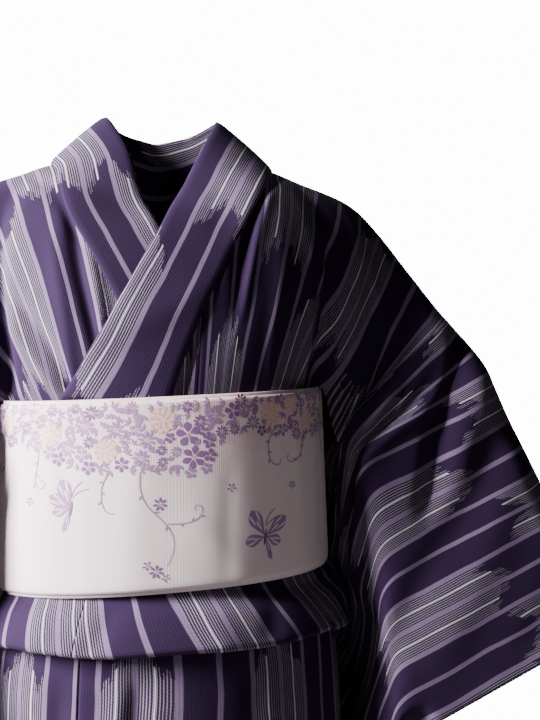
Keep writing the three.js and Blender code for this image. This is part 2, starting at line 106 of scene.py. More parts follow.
bodyRings = table(
    "z halfWidth halfDepth", (-1290, 156, 114), (-1000, 166, 118), (-700, 176, 122),
    (-550, 175, 122), (-446, 167, 116), (-420, 157, 108), (-402, 148, 99), (-236, 145, 99))
topLine = table(
    "across x y z", (0, 0, 0, 2), (100, 101, 0, 2), (139, 138, 0, -10), (194, 190, -1, -30),
    (232, 218, -3, -55), (292, 255, -7, -102), (331, 278, -10, -133), (403, 324, -18, -188),
    (485, 359, -28, -262), (554, 388, -36, -324), (715, 450, -60, -470))
sideEnds = table(
    "across x y z", (235, 131, 42, -236), (258, 150, 36, -209), (282, 177, 34, -219),
    (312, 196, 32, -252))
collarRows = table(
    "fall x y z", (-0.5, 0, 76, 40), (-0.4, 32, 63, 46), (-0.18, 55, 30, 54), (0.06, 53, -8, 48),
    (0.2, 36, -34, 18), (0.36, 16, -56, -20), (0.5, 1, -70, -48), (0.6, -10, -80, -70),
    (0.72, -29, -90, -102), (0.86, -57, -96, -152), (0.96, -83, -92, -197), (1, -98, -86, -222))
necklineFalls = table(
    "fall across", (-0.5, 0), (-0.47, 24), (-0.44, 42), (-0.4, 59), (-0.3, 80), (-0.2, 90),
    (0, 98), (0.12, 97), (0.3, 88), (0.47, 72), (0.67, 43), (0.88, 3), (1, -20))
foldLine = table("station front back", (0, 188, 172), (60, 200, 214), (150, 220, 262), (350, 234, 288))
sideClearance = table(
    "z x", (-900, 190), (-560, 194), (-446, 198), (-390, 174), (-250, 167), (0, 150))
sleeveForm = {
    "armRadius": 36, "armStep": 12, "forward": -0.09, "backClearance": 16, "backFrom": -380, "backTo": -470,
    "outwardBias": 200, "foldHalf": 7, "closeFrom": 220, "closeOver": 214, "softness": 5, "turn": 46,
    "steps": 24, "sewnFrom": 26, "sewnTo": 2, "sewnBlend": 40, "sewnHalf": 2.4, "calmFrom": 60, "calm": 0.6}
gathers = table("height length phase", (5, 24, 0), (2, 15, 1))
hangWay = unit(np.array([-0.16, 0.34, -0.93]))


def armWay(across):
    # direction of the shoulder and arm line: from a point one step behind to one step ahead
    step = sleeveForm["armStep"]
    ahead = np.minimum(np.asarray(across, float) + step, topLine[-1]["across"])
    return unit(placeIn(topLine, "across", ahead) - placeIn(topLine, "across", ahead - 2 * step))


def fallWay(across):
    # direction in which the cloth falls: square to the arm seen from the front, and a little forwards
    arm = armWay(across)
    out = unit(vec(arm[..., 2], 0, -arm[..., 0]))
    out[..., 1] = sleeveForm["forward"]
    return unit(out)


def gather(station, fall):
    # a sum of uneven sine waves across the sleeve, which grow down the cloth
    waves = sum(row["height"] * np.sin(station / row["length"] + row["phase"]) for row in gathers)
    return smoothStep(150, 400, fall) * waves


def sleevePoint(station, fall, side):
    # round the arm by a quarter circle, straight down the fall way, then turned to hang beside the body
    station, fall, side = np.broadcast_arrays(
        np.asarray(station, float), np.asarray(fall, float), np.asarray(side, float))
    across = cut["bodyWidth"] + station
    away = fallWay(across)
    outward = unit(np.cross(armWay(across), away))
    outward = np.where(outward[..., 1:2] > 0, -outward, outward) * side[..., None]
    radius = sleeveForm["armRadius"]
    centre = placeIn(topLine, "across", across) + away * radius
    roundLength = radius * math.pi / 2
    turn = (np.minimum(fall, roundLength) / radius)[..., None]
    point = centre - away * radius * np.cos(turn) + outward * radius * np.sin(turn)
    edgeX = np.where(side > 0, tableColumn(foldLine, "station", "front", station),
                     tableColumn(foldLine, "station", "back", station))
    straight = np.maximum((centre[..., 0] + outward[..., 0] * radius - edgeX) / -away[..., 0], 0)
    step = np.maximum(fall - roundLength, 0) / sleeveForm["steps"]
    for k in range(sleeveForm["steps"]):
        gone = (k + 0.5) * step
        bend = smoothStep(0, sleeveForm["turn"], gone - straight)[..., None]
        point = point + unit(mix(away, hangWay, bend)) * step[..., None]
    low = smoothStep(sleeveForm["backFrom"], sleeveForm["backTo"], point[..., 2])
    nearest = (tableColumn(sideClearance, "z", "x", point[..., 2])
               + np.where(side > 0, 0, sleeveForm["backClearance"] * low))
    room = (point[..., 0] - nearest) / sleeveForm["softness"]
    point[..., 0] = nearest + sleeveForm["softness"] * np.logaddexp(0, room)
    return point


def dropAt(station):
    # the sleeve's length at a station, shorter at the cuff's rounded corner
    corner = cut["sleeveCorner"]
    past = np.maximum(np.asarray(station, float) - (cut["sleeveWidth"] - corner), 0)
    return cut["sleeveDrop"] - corner + np.sqrt(np.maximum(corner ** 2 - past ** 2, 0))


def sleeveFace(station, fall, side):
    # front and back drawn together at the bottom fold, and pressed together where the cuff is sewn
    drop = dropAt(station)
    own = sleevePoint(station, drop, side)
    other = sleevePoint(station, drop, -side)
    bottom = (own + other) / 2
    bias = vec(-sleeveForm["outwardBias"] * np.asarray(side, float), 0, 0)
    towards = unit(own - bottom + bias) * sleeveForm["foldHalf"]
    closing = smoothStep(0, sleeveForm["closeOver"], fall - (drop - sleeveForm["closeFrom"]))[..., None]
    point = sleevePoint(station, fall, side) + (bottom + towards - own) * closing
    across = sleevePoint(station, fall, -side) + (bottom - towards - other) * closing
    toCuff = cut["sleeveWidth"] - station
    sewn = (smoothStep(-sleeveForm["sewnFrom"], -sleeveForm["sewnTo"], -toCuff)
            * smoothStep(0, sleeveForm["sewnBlend"], fall - cut["cuffOpening"]))[..., None]
    middle = (point + across) / 2
    point = mix(point, middle + unit(point - middle) * sleeveForm["sewnHalf"], sewn)
    calm = 1 - sleeveForm["calm"] * smoothStep(-sleeveForm["calmFrom"], 0, -toCuff)
    point[..., 0] += gather(station, fall) * calm
    return point


def bezier(a, b, c, d, f):
    # the cubic curve from a to d, drawn towards b and c
    f = f[..., None]
    return a * (1 - f) ** 3 + b * 3 * f * (1 - f) ** 2 + c * 3 * f * f * (1 - f) + d * f ** 3


# bulge, depth, drop and rise each give a warp thread's two handles near the middle and far from it
bodyForm = {
    "sideAcross": 262, "ringAcross": 235, "outerFrom": 100, "outerTo": 250, "shoulderSpread": 1.01,
    "chestSpread": 0.74,
    "front": {"bulge": (70, 44), "depth": (-112, -62), "drop": (-110, -165), "rise": (0, 0)},
    "back": {"bulge": (95, 48), "depth": (134, 70), "drop": (-62, -150), "rise": (18, -6)},
}


def lowerEnd(across, side):
    # where a warp thread of the body ends: on the waist ring, or beside it down to the armhole
    size = np.abs(across)
    seam = sleevePoint(0, cut["armholeSeam"], side)
    sine = np.clip(across / bodyForm["sideAcross"], -1, 1)
    ring = vec(cut["waistHalfWidth"] * sine, -side * cut["waistHalfDepth"] * np.sqrt(1 - sine * sine),
               cut["waistZ"])
    rows = [dict(row, y=-side * row["y"]) for row in sideEnds]
    rows += table("across x y z", (cut["bodyWidth"], *seam))
    return np.where((size <= bodyForm["ringAcross"])[..., None], ring, placeIn(rows, "across", size))


def bodyPoint(across, fall, side):
    # one warp thread is a Bezier curve from the shoulder line to its lower end; near the armhole
    # the threads take the form of the sleeve's own edge
    across, fall = np.broadcast_arrays(np.asarray(across, float), np.asarray(fall, float))
    size = np.abs(across)
    top = placeIn(topLine, "across", size)
    top[..., 0] = np.where(across < 0, -top[..., 0], top[..., 0])
    end = lowerEnd(across, side)
    outer = smoothStep(bodyForm["outerFrom"], bodyForm["outerTo"], size)
    form = bodyForm["front" if side > 0 else "back"]
    bulge, depth, drop, rise = [mix(*form[key], outer) for key in ("bulge", "depth", "drop", "rise")]
    first = vec(top[..., 0], -side * bulge, top[..., 2] + rise)
    second = vec(bodyForm["chestSpread"] * across, depth, drop)
    plain = bezier(top, first, second, end, fall)
    joined = smoothStep(bodyForm["sideAcross"], cut["bodyWidth"], size)[..., None]
    edgeTop = placeIn(topLine, "across", np.full(size.shape, float(cut["bodyWidth"])))
    edge = bezier(edgeTop, first, second, end, fall)
    seam = sleevePoint(0, fall * cut["armholeSeam"], side)
    return mix(plain, seam + (plain - edge) * (1 - joined), joined)


def bodyLayer(across, fall, side, layer):
    # the body's point, moved out by a layer along its own normal
    low, high = np.maximum(fall - 0.01, 0), np.minimum(fall + 0.01, 1)
    sideways = bodyPoint(across + 2, fall, side) - bodyPoint(across - 2, fall, side)
    downwards = bodyPoint(across, high, side) - bodyPoint(across, low, side)
    normal = unit(np.cross(sideways, downwards))
    return bodyPoint(across, fall, side) - normal * side * np.asarray(layer)[..., None]


def chestShrink(fall):
    # a warp thread's place sideways as a share of its place in the cut: a Bezier curve's four weights,
    # the first two with the shoulder's spread
    up = 1 - fall
    shoulder = bodyForm["shoulderSpread"] * (up ** 3 + 3 * fall * up ** 2)
    waist = cut["waistHalfWidth"] / bodyForm["sideAcross"]
    return shoulder + bodyForm["chestSpread"] * 3 * fall * fall * up + waist * fall ** 3


def neckline(fall, mirror):
    # where the neckline cuts the cloth at each fall, farther out on the side that lies under
    shift = cut["underShift"] * smoothStep(0.15, 0.5, fall) if mirror < 0 else 0 * fall
    edge = tableColumn(necklineFalls, "fall", "across", fall) + shift / chestShrink(np.maximum(fall, 0))
    return np.where(fall < -0.5, 0, edge)


def fallAtHeight(z):
    # fall of a given height on the chest, read backwards from a fine table
    falls = np.linspace(0, 1, 400)
    heights = bodyPoint(0 * falls, falls, 1)[..., 2]
    order = np.argsort(heights)
    return np.interp(z, heights[order], falls[order])


# meshes

def gridNormals(points, ring):
    # cross product of the two grid directions, by central differences
    if ring:
        alongA = np.roll(points, -1, 0) - np.roll(points, 1, 0)
    else:
        alongA = np.gradient(points, axis=0)
    return unit(np.cross(alongA, np.gradient(points, axis=1)))


def creases(*rows):
    # lines on the cloth from s0, t0 to s1, t1: width across, depth outwards, bow sideways
    return table("s0 t0 s1 t1 width depth bow", *rows)


creaseEnd = {"start": -0.25, "full": 0.2}


def creaseField(s, t, rows):
    # sum of soft troughs and ridges: each fades away from its segment as a bell, and at its two ends
    total = np.zeros(np.broadcast(s, t).shape)
    for row in rows:
        ds, dt = row["s1"] - row["s0"], row["t1"] - row["t0"]
        long = math.hypot(ds, dt)
        share = ((s - row["s0"]) * ds + (t - row["t0"]) * dt) / long ** 2
        aside = ((s - row["s0"]) * dt - (t - row["t0"]) * ds) / long
        bend = aside + row["bow"] * np.sin(np.clip(share, 0, 1) * math.pi)
        ends = (smoothStep(creaseEnd["start"], creaseEnd["full"], share)
                * smoothStep(creaseEnd["start"], creaseEnd["full"], 1 - share))
        total = total + row["depth"] * ends * np.exp(-(bend / row["width"]) ** 2)
    return total


def clothPiece(name, points, uv, slot, growth=1, ring=False, wall=cut["wall"], relief=None, outer=-1,
               replaced=None):
    # one face as a grid of quads, with a Solidify wall to the side of its normal that growth names;
    # outer is 1 where that is the outer side, and relief is always outward
    if relief is not None:
        points = points + outer * growth * gridNormals(points, ring) * relief[..., None]
    na, nb = points.shape[:2]
    columns = np.arange(na if ring else na - 1)
    i, j = [g.ravel() for g in np.meshgrid(columns, np.arange(nb - 1), indexing="ij")]
    nextI = (i + 1) % na
    corners = [(i, i, j), (i + 1, nextI, j), (i + 1, nextI, j + 1), (i, i, j + 1)]
    if growth > 0:
        corners = corners[::-1]
    quads = np.stack([c[1] * nb + c[2] for c in corners], -1)
    loopUv = np.stack([uv[np.minimum(c[0], uv.shape[0] - 1), c[2]] for c in corners], 1)
    mesh = bpy.data.meshes.new(name + "_cloth")
    mesh.from_pydata((points.reshape(-1, 3) * metre).tolist(), [], quads.tolist())
    layer = mesh.uv_layers.new(name="cloth")
    layer.data.foreach_set("uv", (loopUv.reshape(-1, 2) * metre).ravel())
    mesh.polygons.foreach_set("use_smooth", np.ones(len(mesh.polygons), bool))
    mesh.materials.append(cloths[slot])
    piece = bpy.data.objects.new(name + "_cloth", mesh)
    bpy.context.scene.collection.objects.link(piece)
    solid = piece.modifiers.new("wall", "SOLIDIFY")
    solid.thickness = wall * metre
    solid.offset = -1
    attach(piece, "root")
    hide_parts(*(replaced or [name]))


# materials

def feed(tree, socket, value):
    # a link from another node's output, or a plain value
    if isinstance(value, bpy.types.NodeSocket):
        tree.links.new(value, socket)
    else:
        socket.default_value = value


def addMath(tree, operation, *values):
    # one arithmetic step on up to three values or outputs
    node = tree.nodes.new("ShaderNodeMath")
    node.operation = operation
    for socket, value in zip(node.inputs, values):
        feed(tree, socket, value)
    return node.outputs[0]


def addOpposite(tree, value):
    # 1 less the value
    return addMath(tree, "SUBTRACT", 1.0, value)


def addRange(tree, value, low, high):
    # 0 below low, 1 above high, an S curve between
    node = tree.nodes.new("ShaderNodeMapRange")
    node.interpolation_type = "SMOOTHSTEP"
    for label, given in (("Value", value), ("From Min", low), ("From Max", high)):
        feed(tree, node.inputs[label], given)
    return node.outputs["Result"]


def addMix(tree, factor, first, second):
    # the first colour at factor 0, the second at 1
    node = tree.nodes.new("ShaderNodeMix")
    node.data_type = "RGBA"
    for k, given in ((0, factor), (6, first), (7, second)):
        feed(tree, node.inputs[k], given)
    return node.outputs[2]


def addNoise(tree, vector, scale, detail=2.0, dimensions="3D"):
    # soft noise of a given fineness at each place
    node = tree.nodes.new("ShaderNodeTexNoise")
    node.noise_dimensions = dimensions
    for label, given in (("Vector", vector), ("Scale", scale), ("Detail", detail)):
        feed(tree, node.inputs[label], given)
    return node.outputs["Fac"]


def addChance(tree, number):
    # a value from 0 to 1 that belongs to a whole number
    node = tree.nodes.new("ShaderNodeTexWhiteNoise")
    node.noise_dimensions = "1D"
    tree.links.new(number, node.inputs["W"])
    return node.outputs["Value"]


def newGroup(name, inputs, outputs):
    # an empty node group with its named inputs and outputs
    tree = bpy.data.node_groups.new(name, "ShaderNodeTree")
    for label, kind, value in inputs:
        socket = tree.interface.new_socket(label, in_out="INPUT", socket_type=kind)
        if value is not None:
            socket.default_value = value
    for label, kind in outputs:
        tree.interface.new_socket(label, in_out="OUTPUT", socket_type=kind)
    return tree, tree.nodes.new("NodeGroupInput").outputs, tree.nodes.new("NodeGroupOutput").inputs


stripe = {
    "sway": 0.006, "swayScale": 11, "pitch": 0.027, "halfWidth": 0.0022, "lineBlur": 0.15,
    "period": 0.345, "share": 0.41, "peak": 0.11, "jag": 0.06, "stagger": 0.5, "unevenness": 0.16,
    "pin": 0.027 / 13, "pinEdge": (0.12, 0.24), "dash": 0.0031, "dashShift": 0.37, "dashEdge": (0.30, 0.42),
    "dashDepth": 0.6, "brightEdge": (0.008, 0.019),
    "ground": (0.018, 0.0076, 0.030, 1), "lavender": (0.145, 0.098, 0.175, 1),
    "between": (0.024, 0.013, 0.034, 1), "thread": (0.23, 0.19, 0.25, 1), "white": (0.66, 0.62, 0.66, 1),
}


def makeStripeGroup():
    # lavender lines every pitch; between them, two pitches at a time, feather patches of fine
    # white lines whose ends rise to a point in the middle and break off unevenly thread by thread
    tree, source, target = newGroup(
        "featherStripe", [("Vector", "NodeSocketVector", None)],
        [("Color", "NodeSocketColor"), ("Height", "NodeSocketFloat")])
    split = tree.nodes.new("ShaderNodeSeparateXYZ")
    tree.links.new(source["Vector"], split.inputs[0])
    v = split.outputs[1]
    sway = addNoise(tree, source["Vector"], stripe["swayScale"], dimensions="2D")
    u = addMath(tree, "MULTIPLY_ADD", sway, stripe["sway"], split.outputs[0])
    byPitch = addMath(tree, "DIVIDE", u, stripe["pitch"])
    lineAside = addMath(tree, "PINGPONG", byPitch, 0.5)
    edge = stripe["halfWidth"] / stripe["pitch"]
    line = addOpposite(tree, addRange(
        tree, lineAside, edge * (1 - stripe["lineBlur"]), edge * (1 + stripe["lineBlur"])))
    byPair = addMath(tree, "MULTIPLY", byPitch, 0.5)
    pair = addMath(tree, "FLOOR", byPair)
    inPair = addMath(tree, "PINGPONG", addMath(tree, "FRACT", byPair), 0.5)
    peak = addMath(tree, "MULTIPLY", inPair, 2 * stripe["peak"])
    byPin = addMath(tree, "DIVIDE", u, stripe["pin"])
    pin = addMath(tree, "FLOOR", byPin)
    ragged = addMath(tree, "MULTIPLY", addChance(tree, pin), stripe["jag"])
    stagger = addMath(tree, "MULTIPLY", addMath(tree, "FLOORED_MODULO", pair, 2.0), stripe["stagger"])
    stagger = addMath(tree, "MULTIPLY_ADD", addChance(tree, pair), stripe["unevenness"], stagger)
    place = addMath(tree, "MULTIPLY_ADD", v, 1 / stripe["period"], stagger)
    place = addMath(tree, "ADD", addMath(tree, "ADD", place, peak), ragged)
    patch = addMath(tree, "LESS_THAN", addMath(tree, "FRACT", place), stripe["share"])
    pins = addOpposite(tree, addRange(tree, addMath(tree, "PINGPONG", byPin, 0.5), *stripe["pinEdge"]))
    dashShift = addMath(tree, "MULTIPLY", pin, stripe["dashShift"])
    dashes = addMath(tree, "MULTIPLY_ADD", v, 1 / stripe["dash"], dashShift)
    gaps = addRange(tree, addMath(tree, "PINGPONG", dashes, 0.5), *stripe["dashEdge"])
    pins = addMath(tree, "MULTIPLY", pins, addOpposite(
        tree, addMath(tree, "MULTIPLY", gaps, stripe["dashDepth"])))
    brightAside = addMath(tree, "ABSOLUTE", addMath(tree, "SUBTRACT", lineAside, 0.5))
    bright = addOpposite(tree, addRange(tree, brightAside, *stripe["brightEdge"]))
    pinColour = addMix(tree, pins, stripe["between"], stripe["thread"])
    pinColour = addMix(tree, bright, pinColour, stripe["white"])
    colour = addMix(tree, patch, stripe["ground"], pinColour)
    colour = addMix(tree, line, colour, stripe["lavender"])
    tree.links.new(colour, target["Color"])
    tree.links.new(addMath(tree, "MAXIMUM", line, addMath(tree, "MULTIPLY", patch, pins)), target["Height"])
    return tree


weave = {"slubScale": 420, "slubDetail": 3, "slowScale": 30, "slowDetail": 4, "depth": 0.0003}


def makeWeaveGroup():
    # crossed threads as two sets of waves, with slubs and slow shading of the cloth
    tree, source, target = newGroup(
        "plainWeave",
        [("Vector", "NodeSocketVector", None), ("Threads per metre", "NodeSocketFloat", 1500.0),
         ("Slub", "NodeSocketFloat", 0.5)],
        [("Height", "NodeSocketFloat"), ("Shade", "NodeSocketFloat")])
    split = tree.nodes.new("ShaderNodeSeparateXYZ")
    tree.links.new(source["Vector"], split.inputs[0])
    waves = [addMath(tree, "PINGPONG",
                     addMath(tree, "MULTIPLY", split.outputs[k], source["Threads per metre"]), 1.0)
             for k in (0, 1)]
    crossed = addMath(tree, "MULTIPLY", *waves)
    slub = addNoise(tree, source["Vector"], weave["slubScale"], weave["slubDetail"])
    tree.links.new(addMath(tree, "MULTIPLY_ADD", slub, source["Slub"], crossed), target["Height"])
    tree.links.new(addNoise(tree, source["Vector"], weave["slowScale"], weave["slowDetail"]),
                   target["Shade"])
    return tree


stripeGroup = makeStripeGroup()
weaveGroup = makeWeaveGroup()


def newMaterial(name, finish):
    # a Principled material with the finish's values in its named inputs
    material = bpy.data.materials.new(name)
    material.use_nodes = True
    shader = material.node_tree.nodes["Principled BSDF"]
    for label, value in finish.items():
        shader.inputs[label].default_value = value
    return material, material.node_tree, shader


def addClothPlace(tree):
    # the place on the flat cloth, in metres
    uvMap = tree.nodes.new("ShaderNodeUVMap")
    uvMap.uv_map = "cloth"
    return uvMap.outputs["UV"]


def addWeave(tree, shader, uv, colour, threads, slub, bump, shadeRange):
    # weave height to the bump, slow shading into the colour
    group = tree.nodes.new("ShaderNodeGroup")
    group.node_tree = weaveGroup
    for label, value in (("Threads per metre", threads), ("Slub", slub), ("Vector", uv)):
        feed(tree, group.inputs[label], value)
    shade = tree.nodes.new("ShaderNodeMapRange")
    for label, value in (("Value", group.outputs["Shade"]), ("To Min", 1 - shadeRange),
                         ("To Max", 1 + shadeRange)):
        feed(tree, shade.inputs[label], value)
    tone = tree.nodes.new("ShaderNodeVectorMath")
    tone.operation = "SCALE"
    tree.links.new(colour, tone.inputs[0])
    tree.links.new(shade.outputs["Result"], tone.inputs["Scale"])
    tree.links.new(tone.outputs["Vector"], shader.inputs["Base Color"])
    relief = tree.nodes.new("ShaderNodeBump")
    for label, value in (("Strength", bump), ("Distance", weave["depth"]),
                         ("Height", group.outputs["Height"])):
        feed(tree, relief.inputs[label], value)
    tree.links.new(relief.outputs["Normal"], shader.inputs["Normal"])


kimonoLook = {
    "finish": {"Roughness": 0.85, "Sheen Weight": 0.02, "Sheen Roughness": 0.45, "Specular IOR Level": 0.12},
    "weave": {"threads": 900, "slub": 1.2, "bump": 0.4, "shadeRange": 0.22},
}


def makeKimonoCloth():
    # striped cotton: the feather stripe's colours under a slubbed weave
    material, tree, shader = newMaterial("kimonoCloth", kimonoLook["finish"])
    uv = addClothPlace(tree)
    pattern = tree.nodes.new("ShaderNodeGroup")
    pattern.node_tree = stripeGroup
    tree.links.new(uv, pattern.inputs["Vector"])
    addWeave(tree, shader, uv, pattern.outputs["Color"], **kimonoLook["weave"])
    return material


obiLook = {
    "finish": {"Roughness": 0.62, "Sheen Weight": 0.25, "Sheen Roughness": 0.45, "Specular IOR Level": 0.35},
    "weave": {"threads": 1100, "slub": 0.4, "bump": 0.35, "shadeRange": 0.05},
    "white": (0.76, 0.61, 0.635, 1), "pink": (0.72, 0.46, 0.50, 1), "pinkDepth": 0.075,
    "cloudScale": 42, "cloudEdge": (0.35, 0.6),
}


def makeObiCloth():
    # off-white satin with soft pink clouds that fade down from its upper edge
    material, tree, shader = newMaterial("obiCloth", obiLook["finish"])
    uv = addClothPlace(tree)
    split = tree.nodes.new("ShaderNodeSeparateXYZ")
    tree.links.new(uv, split.inputs[0])
    high = addOpposite(tree, addRange(tree, split.outputs[1], 0.0, obiLook["pinkDepth"]))
    clouds = addRange(tree, addNoise(tree, uv, obiLook["cloudScale"]), *obiLook["cloudEdge"])
    colour = addMix(tree, addMath(tree, "MULTIPLY", high, clouds), obiLook["white"], obiLook["pink"])
    addWeave(tree, shader, uv, colour, **obiLook["weave"])
    return material


cloths = {"cloth": makeKimonoCloth(), "obi_cloth": makeObiCloth()}
print("materials ready")


# sleeves

sleeveLook = {
    "across": 220, "along": 110, "hang": 16, "besideIn": 8, "besideForward": 10, "uvShift": 8,
    "bottomFold": 10,
    "creases": creases(
        (22, 26, 84, 96, 11, -8.5, 3), (84, 96, 160, 156, 12, -8.0, -3), (60, 20, 150, 110, 16, 4.0, 4),
        (38, 90, 96, 235, 12, -7.5, 8), (70, 110, 120, 250, 14, 5.5, 10),
        (120, 30, 210, 150, 20, -3.2, 6), (170, 60, 300, 210, 24, 2.8, -8),
        (10, 90, 60, 210, 9, -4.0, 3), (0, 60, 26, 180, 8, 3.4, 0),
        (190, 150, 330, 300, 17, -3.0, 5), (250, 20, 340, 120, 20, -2.6, -6),
        (96, 235, 150, 400, 14, -4.5, 4), (20, 230, 40, 440, 11, -4.2, 2),
        (200, 300, 230, 470, 12, -3.4, 3), (300, 260, 330, 440, 14, 2.6, -3)),
    "backCreases": creases(
        (30, 50, 80, 260, 15, -6.0, 8), (90, 40, 160, 220, 20, 4.2, 8),
        (160, 40, 280, 230, 22, -3.6, 8), (10, 120, 40, 420, 12, -4.5, 4),
        (220, 120, 330, 330, 18, -2.8, 4), (120, 240, 170, 450, 13, -3.8, 3)),
}


def buildSleeve(name, mirror):
    # a ring from the back's bottom fold over the top to the front's bottom fold, from armhole to cuff
    a = np.linspace(-1, 1, sleeveLook["across"])[:, None]
    station = mix(cut["armholeGap"], cut["sleeveWidth"], np.linspace(0, 1, sleeveLook["along"]))[None, :]
    a, station = np.broadcast_arrays(a, station)
    side = np.where(a >= 0, 1.0, -1.0)
    fall = np.abs(a) * dropAt(station)
    points = sleeveFace(station, fall, side)
    relief = np.where(a >= 0, creaseField(station, fall, sleeveLook["creases"]),
                      creaseField(station, fall, sleeveLook["backCreases"]))
    relief = relief * smoothStep(0, 30, fall) * smoothStep(0, 26, station)
    relief = relief * (1 - 0.8 * smoothStep(310, 350, station)) * (1 - smoothStep(430, 480, fall))
    # the lower inner edge hangs nearer the skirt, and the front above it lies closer to the tuck
    hanging = smoothStep(370, 440, fall) * (1 - smoothStep(90, 230, station))
    beside = smoothStep(300, 340, fall) * (1 - smoothStep(400, 450, fall))
    beside = beside * (1 - smoothStep(20, 90, station)) * (side > 0)
    points[..., 0] -= sleeveLook["hang"] * hanging + sleeveLook["besideIn"] * beside
    points[..., 1] -= sleeveLook["besideForward"] * beside
    points[..., 0] *= mirror
    uv = np.stack([cut["bodyWidth"] + station + sleeveLook["uvShift"], fall * side], -1)
    uv = np.concatenate([uv, uv[-1:] + np.array([0, sleeveLook["bottomFold"]])], 0)
    clothPiece(name, points, uv, "cloth", growth=-mirror, ring=True, relief=relief,
               replaced=[name + "_front", name + "_back"])


buildSleeve("sleeve_left", 1)
buildSleeve("sleeve_right", -1)
print("sleeves ready")


# upper body

overlapTip = 0.7

bodyLook = {
    "across": 110, "along": 170, "uvShift": {1: (3, 80), -1: (8, 0)}, "okumiShift": (22, 70),
    "okumiAcross": 24, "okumiAlong": 60,
    "body_left_upper": creases(
        (118, 26, 76, 150, 7, -4.2, 4), (98, 20, 62, 170, 8, 2.6, 4),
        (92, 78, 80, 190, 6, -4.2, 2), (104, 84, 92, 190, 6, 2.6, 2),
        (150, 60, 236, 250, 12, -4.0, -6), (196, 60, 262, 200, 10, 3.0, -5),
        (210, 30, 300, 150, 13, -3.2, 6), (128, 150, 150, 262, 9, 2.6, 2),
        (182, 110, 258, 244, 9, -8.5, 5), (178, 150, 226, 240, 7, -4.5, 2),
        (160, 130, 226, 250, 9, 3.2, 5), (38, 200, 12, 262, 5, -3.4, 0),
        (240, 90, 330, 190, 11, 3.4, 4), (260, 130, 345, 215, 9, -4.6, 2)),
    "body_right_upper": creases(
        (98, 96, 106, 228, 8, -4.2, -6), (84, 110, 90, 220, 8, 2.4, -5),
        (132, 40, 92, 150, 9, -2.6, 3), (60, 170, 70, 262, 7, -2.6, 1),
        (206, 180, 172, 262, 8, 4.0, 2), (186, 170, 152, 262, 7, -4.0, 2),
        (150, 60, 236, 230, 12, -4.4, -6), (210, 30, 300, 150, 13, -3.2, 6),
        (182, 110, 258, 244, 9, -8.0, 5), (130, 140, 150, 250, 9, 2.4, 2),
        (240, 90, 330, 190, 11, 3.4, 4), (260, 130, 345, 215, 9, -4.6, 2)),
    "backCreases": creases(
        (30, 110, 24, 250, 11, -2.6, 2), (90, 90, 70, 250, 12, 2.4, -3),
        (150, 70, 200, 240, 14, -3.6, -5), (210, 60, 290, 200, 14, -3.4, 6),
        (120, 150, 150, 262, 9, -2.4, 2), (250, 90, 330, 215, 12, 3.2, 3)),
}


# how far the cloth under the arm hangs below the armhole's end, past the obi's edge
armpitHang = table(
    "across drop", (235, 0), (250, 13), (258, 14), (264, 12), (268, 26), (273, 46), (282, 48), (302, 16),
    (330, 0))
rightHang = {"drop": 13, "across": 257, "width": 16}


def bodyWarp(across, signed):
    # distance along the warp from the shoulder, shorter beside the armhole
    return signed * mix(cut["warpLength"], cut["armholeSeam"], smoothStep(150, 350, across))


def buildBody(name, mirror, layer):
    # warp threads from the back waist over the shoulder to the front waist, cut by the neckline
    signed = np.linspace(-1, 1, bodyLook["along"])
    seam = float(neckline(np.array([overlapTip]), mirror)[0])
    cutFall = signed - 0.02 * smoothStep(0.2, 0.4, -signed)
    inner = np.where(signed > overlapTip + 0.01, seam, neckline(cutFall, mirror))
    a = np.linspace(0, 1, bodyLook["across"])[:, None] ** 0.9
    across = mix(inner[None, :] + cut["seamGap"] / 2, cut["bodyWidth"], a)
    signed = np.broadcast_to(signed[None, :], across.shape)
    lift = layer * smoothStep(0.2, 0.5, signed) * (1 - smoothStep(170, 250, across))
    back = signed[0] < 0
    points = np.concatenate([
        bodyLayer(across[:, back], -signed[:, back], -1, 0 * across[:, back]),
        bodyLayer(across[:, ~back], signed[:, ~back], 1, lift[:, ~back])], 1)
    hang = tableColumn(armpitHang, "across", "drop", across)
    if mirror < 0:
        aside = (across - rightHang["across"]) / rightHang["width"]
        hang = hang + rightHang["drop"] * np.exp(-aside ** 2)
    points[..., 2] -= hang * smoothStep(0.5, 1, np.abs(signed))
    warp = bodyWarp(across, signed)
    relief = np.where(signed >= 0, creaseField(across, np.abs(warp), bodyLook[name]),
                      creaseField(across, np.abs(warp), bodyLook["backCreases"]))
    relief = relief * smoothStep(0.03, 0.2, np.abs(signed)) * (1 - smoothStep(325, 350, across))
    relief = relief * (1 - 0.7 * smoothStep(0.9, 1, np.abs(signed)) * (1 - smoothStep(235, 260, across)))
    relief = relief * smoothStep(0, 14, across - inner[None, :] - 4)
    points[..., 0] *= mirror
    shift = bodyLook["uvShift"][mirror]
    uv = np.stack([across + shift[0], mirror * warp - shift[1]], -1)
    clothPiece(name, points, uv, "cloth", growth=mirror, relief=relief)


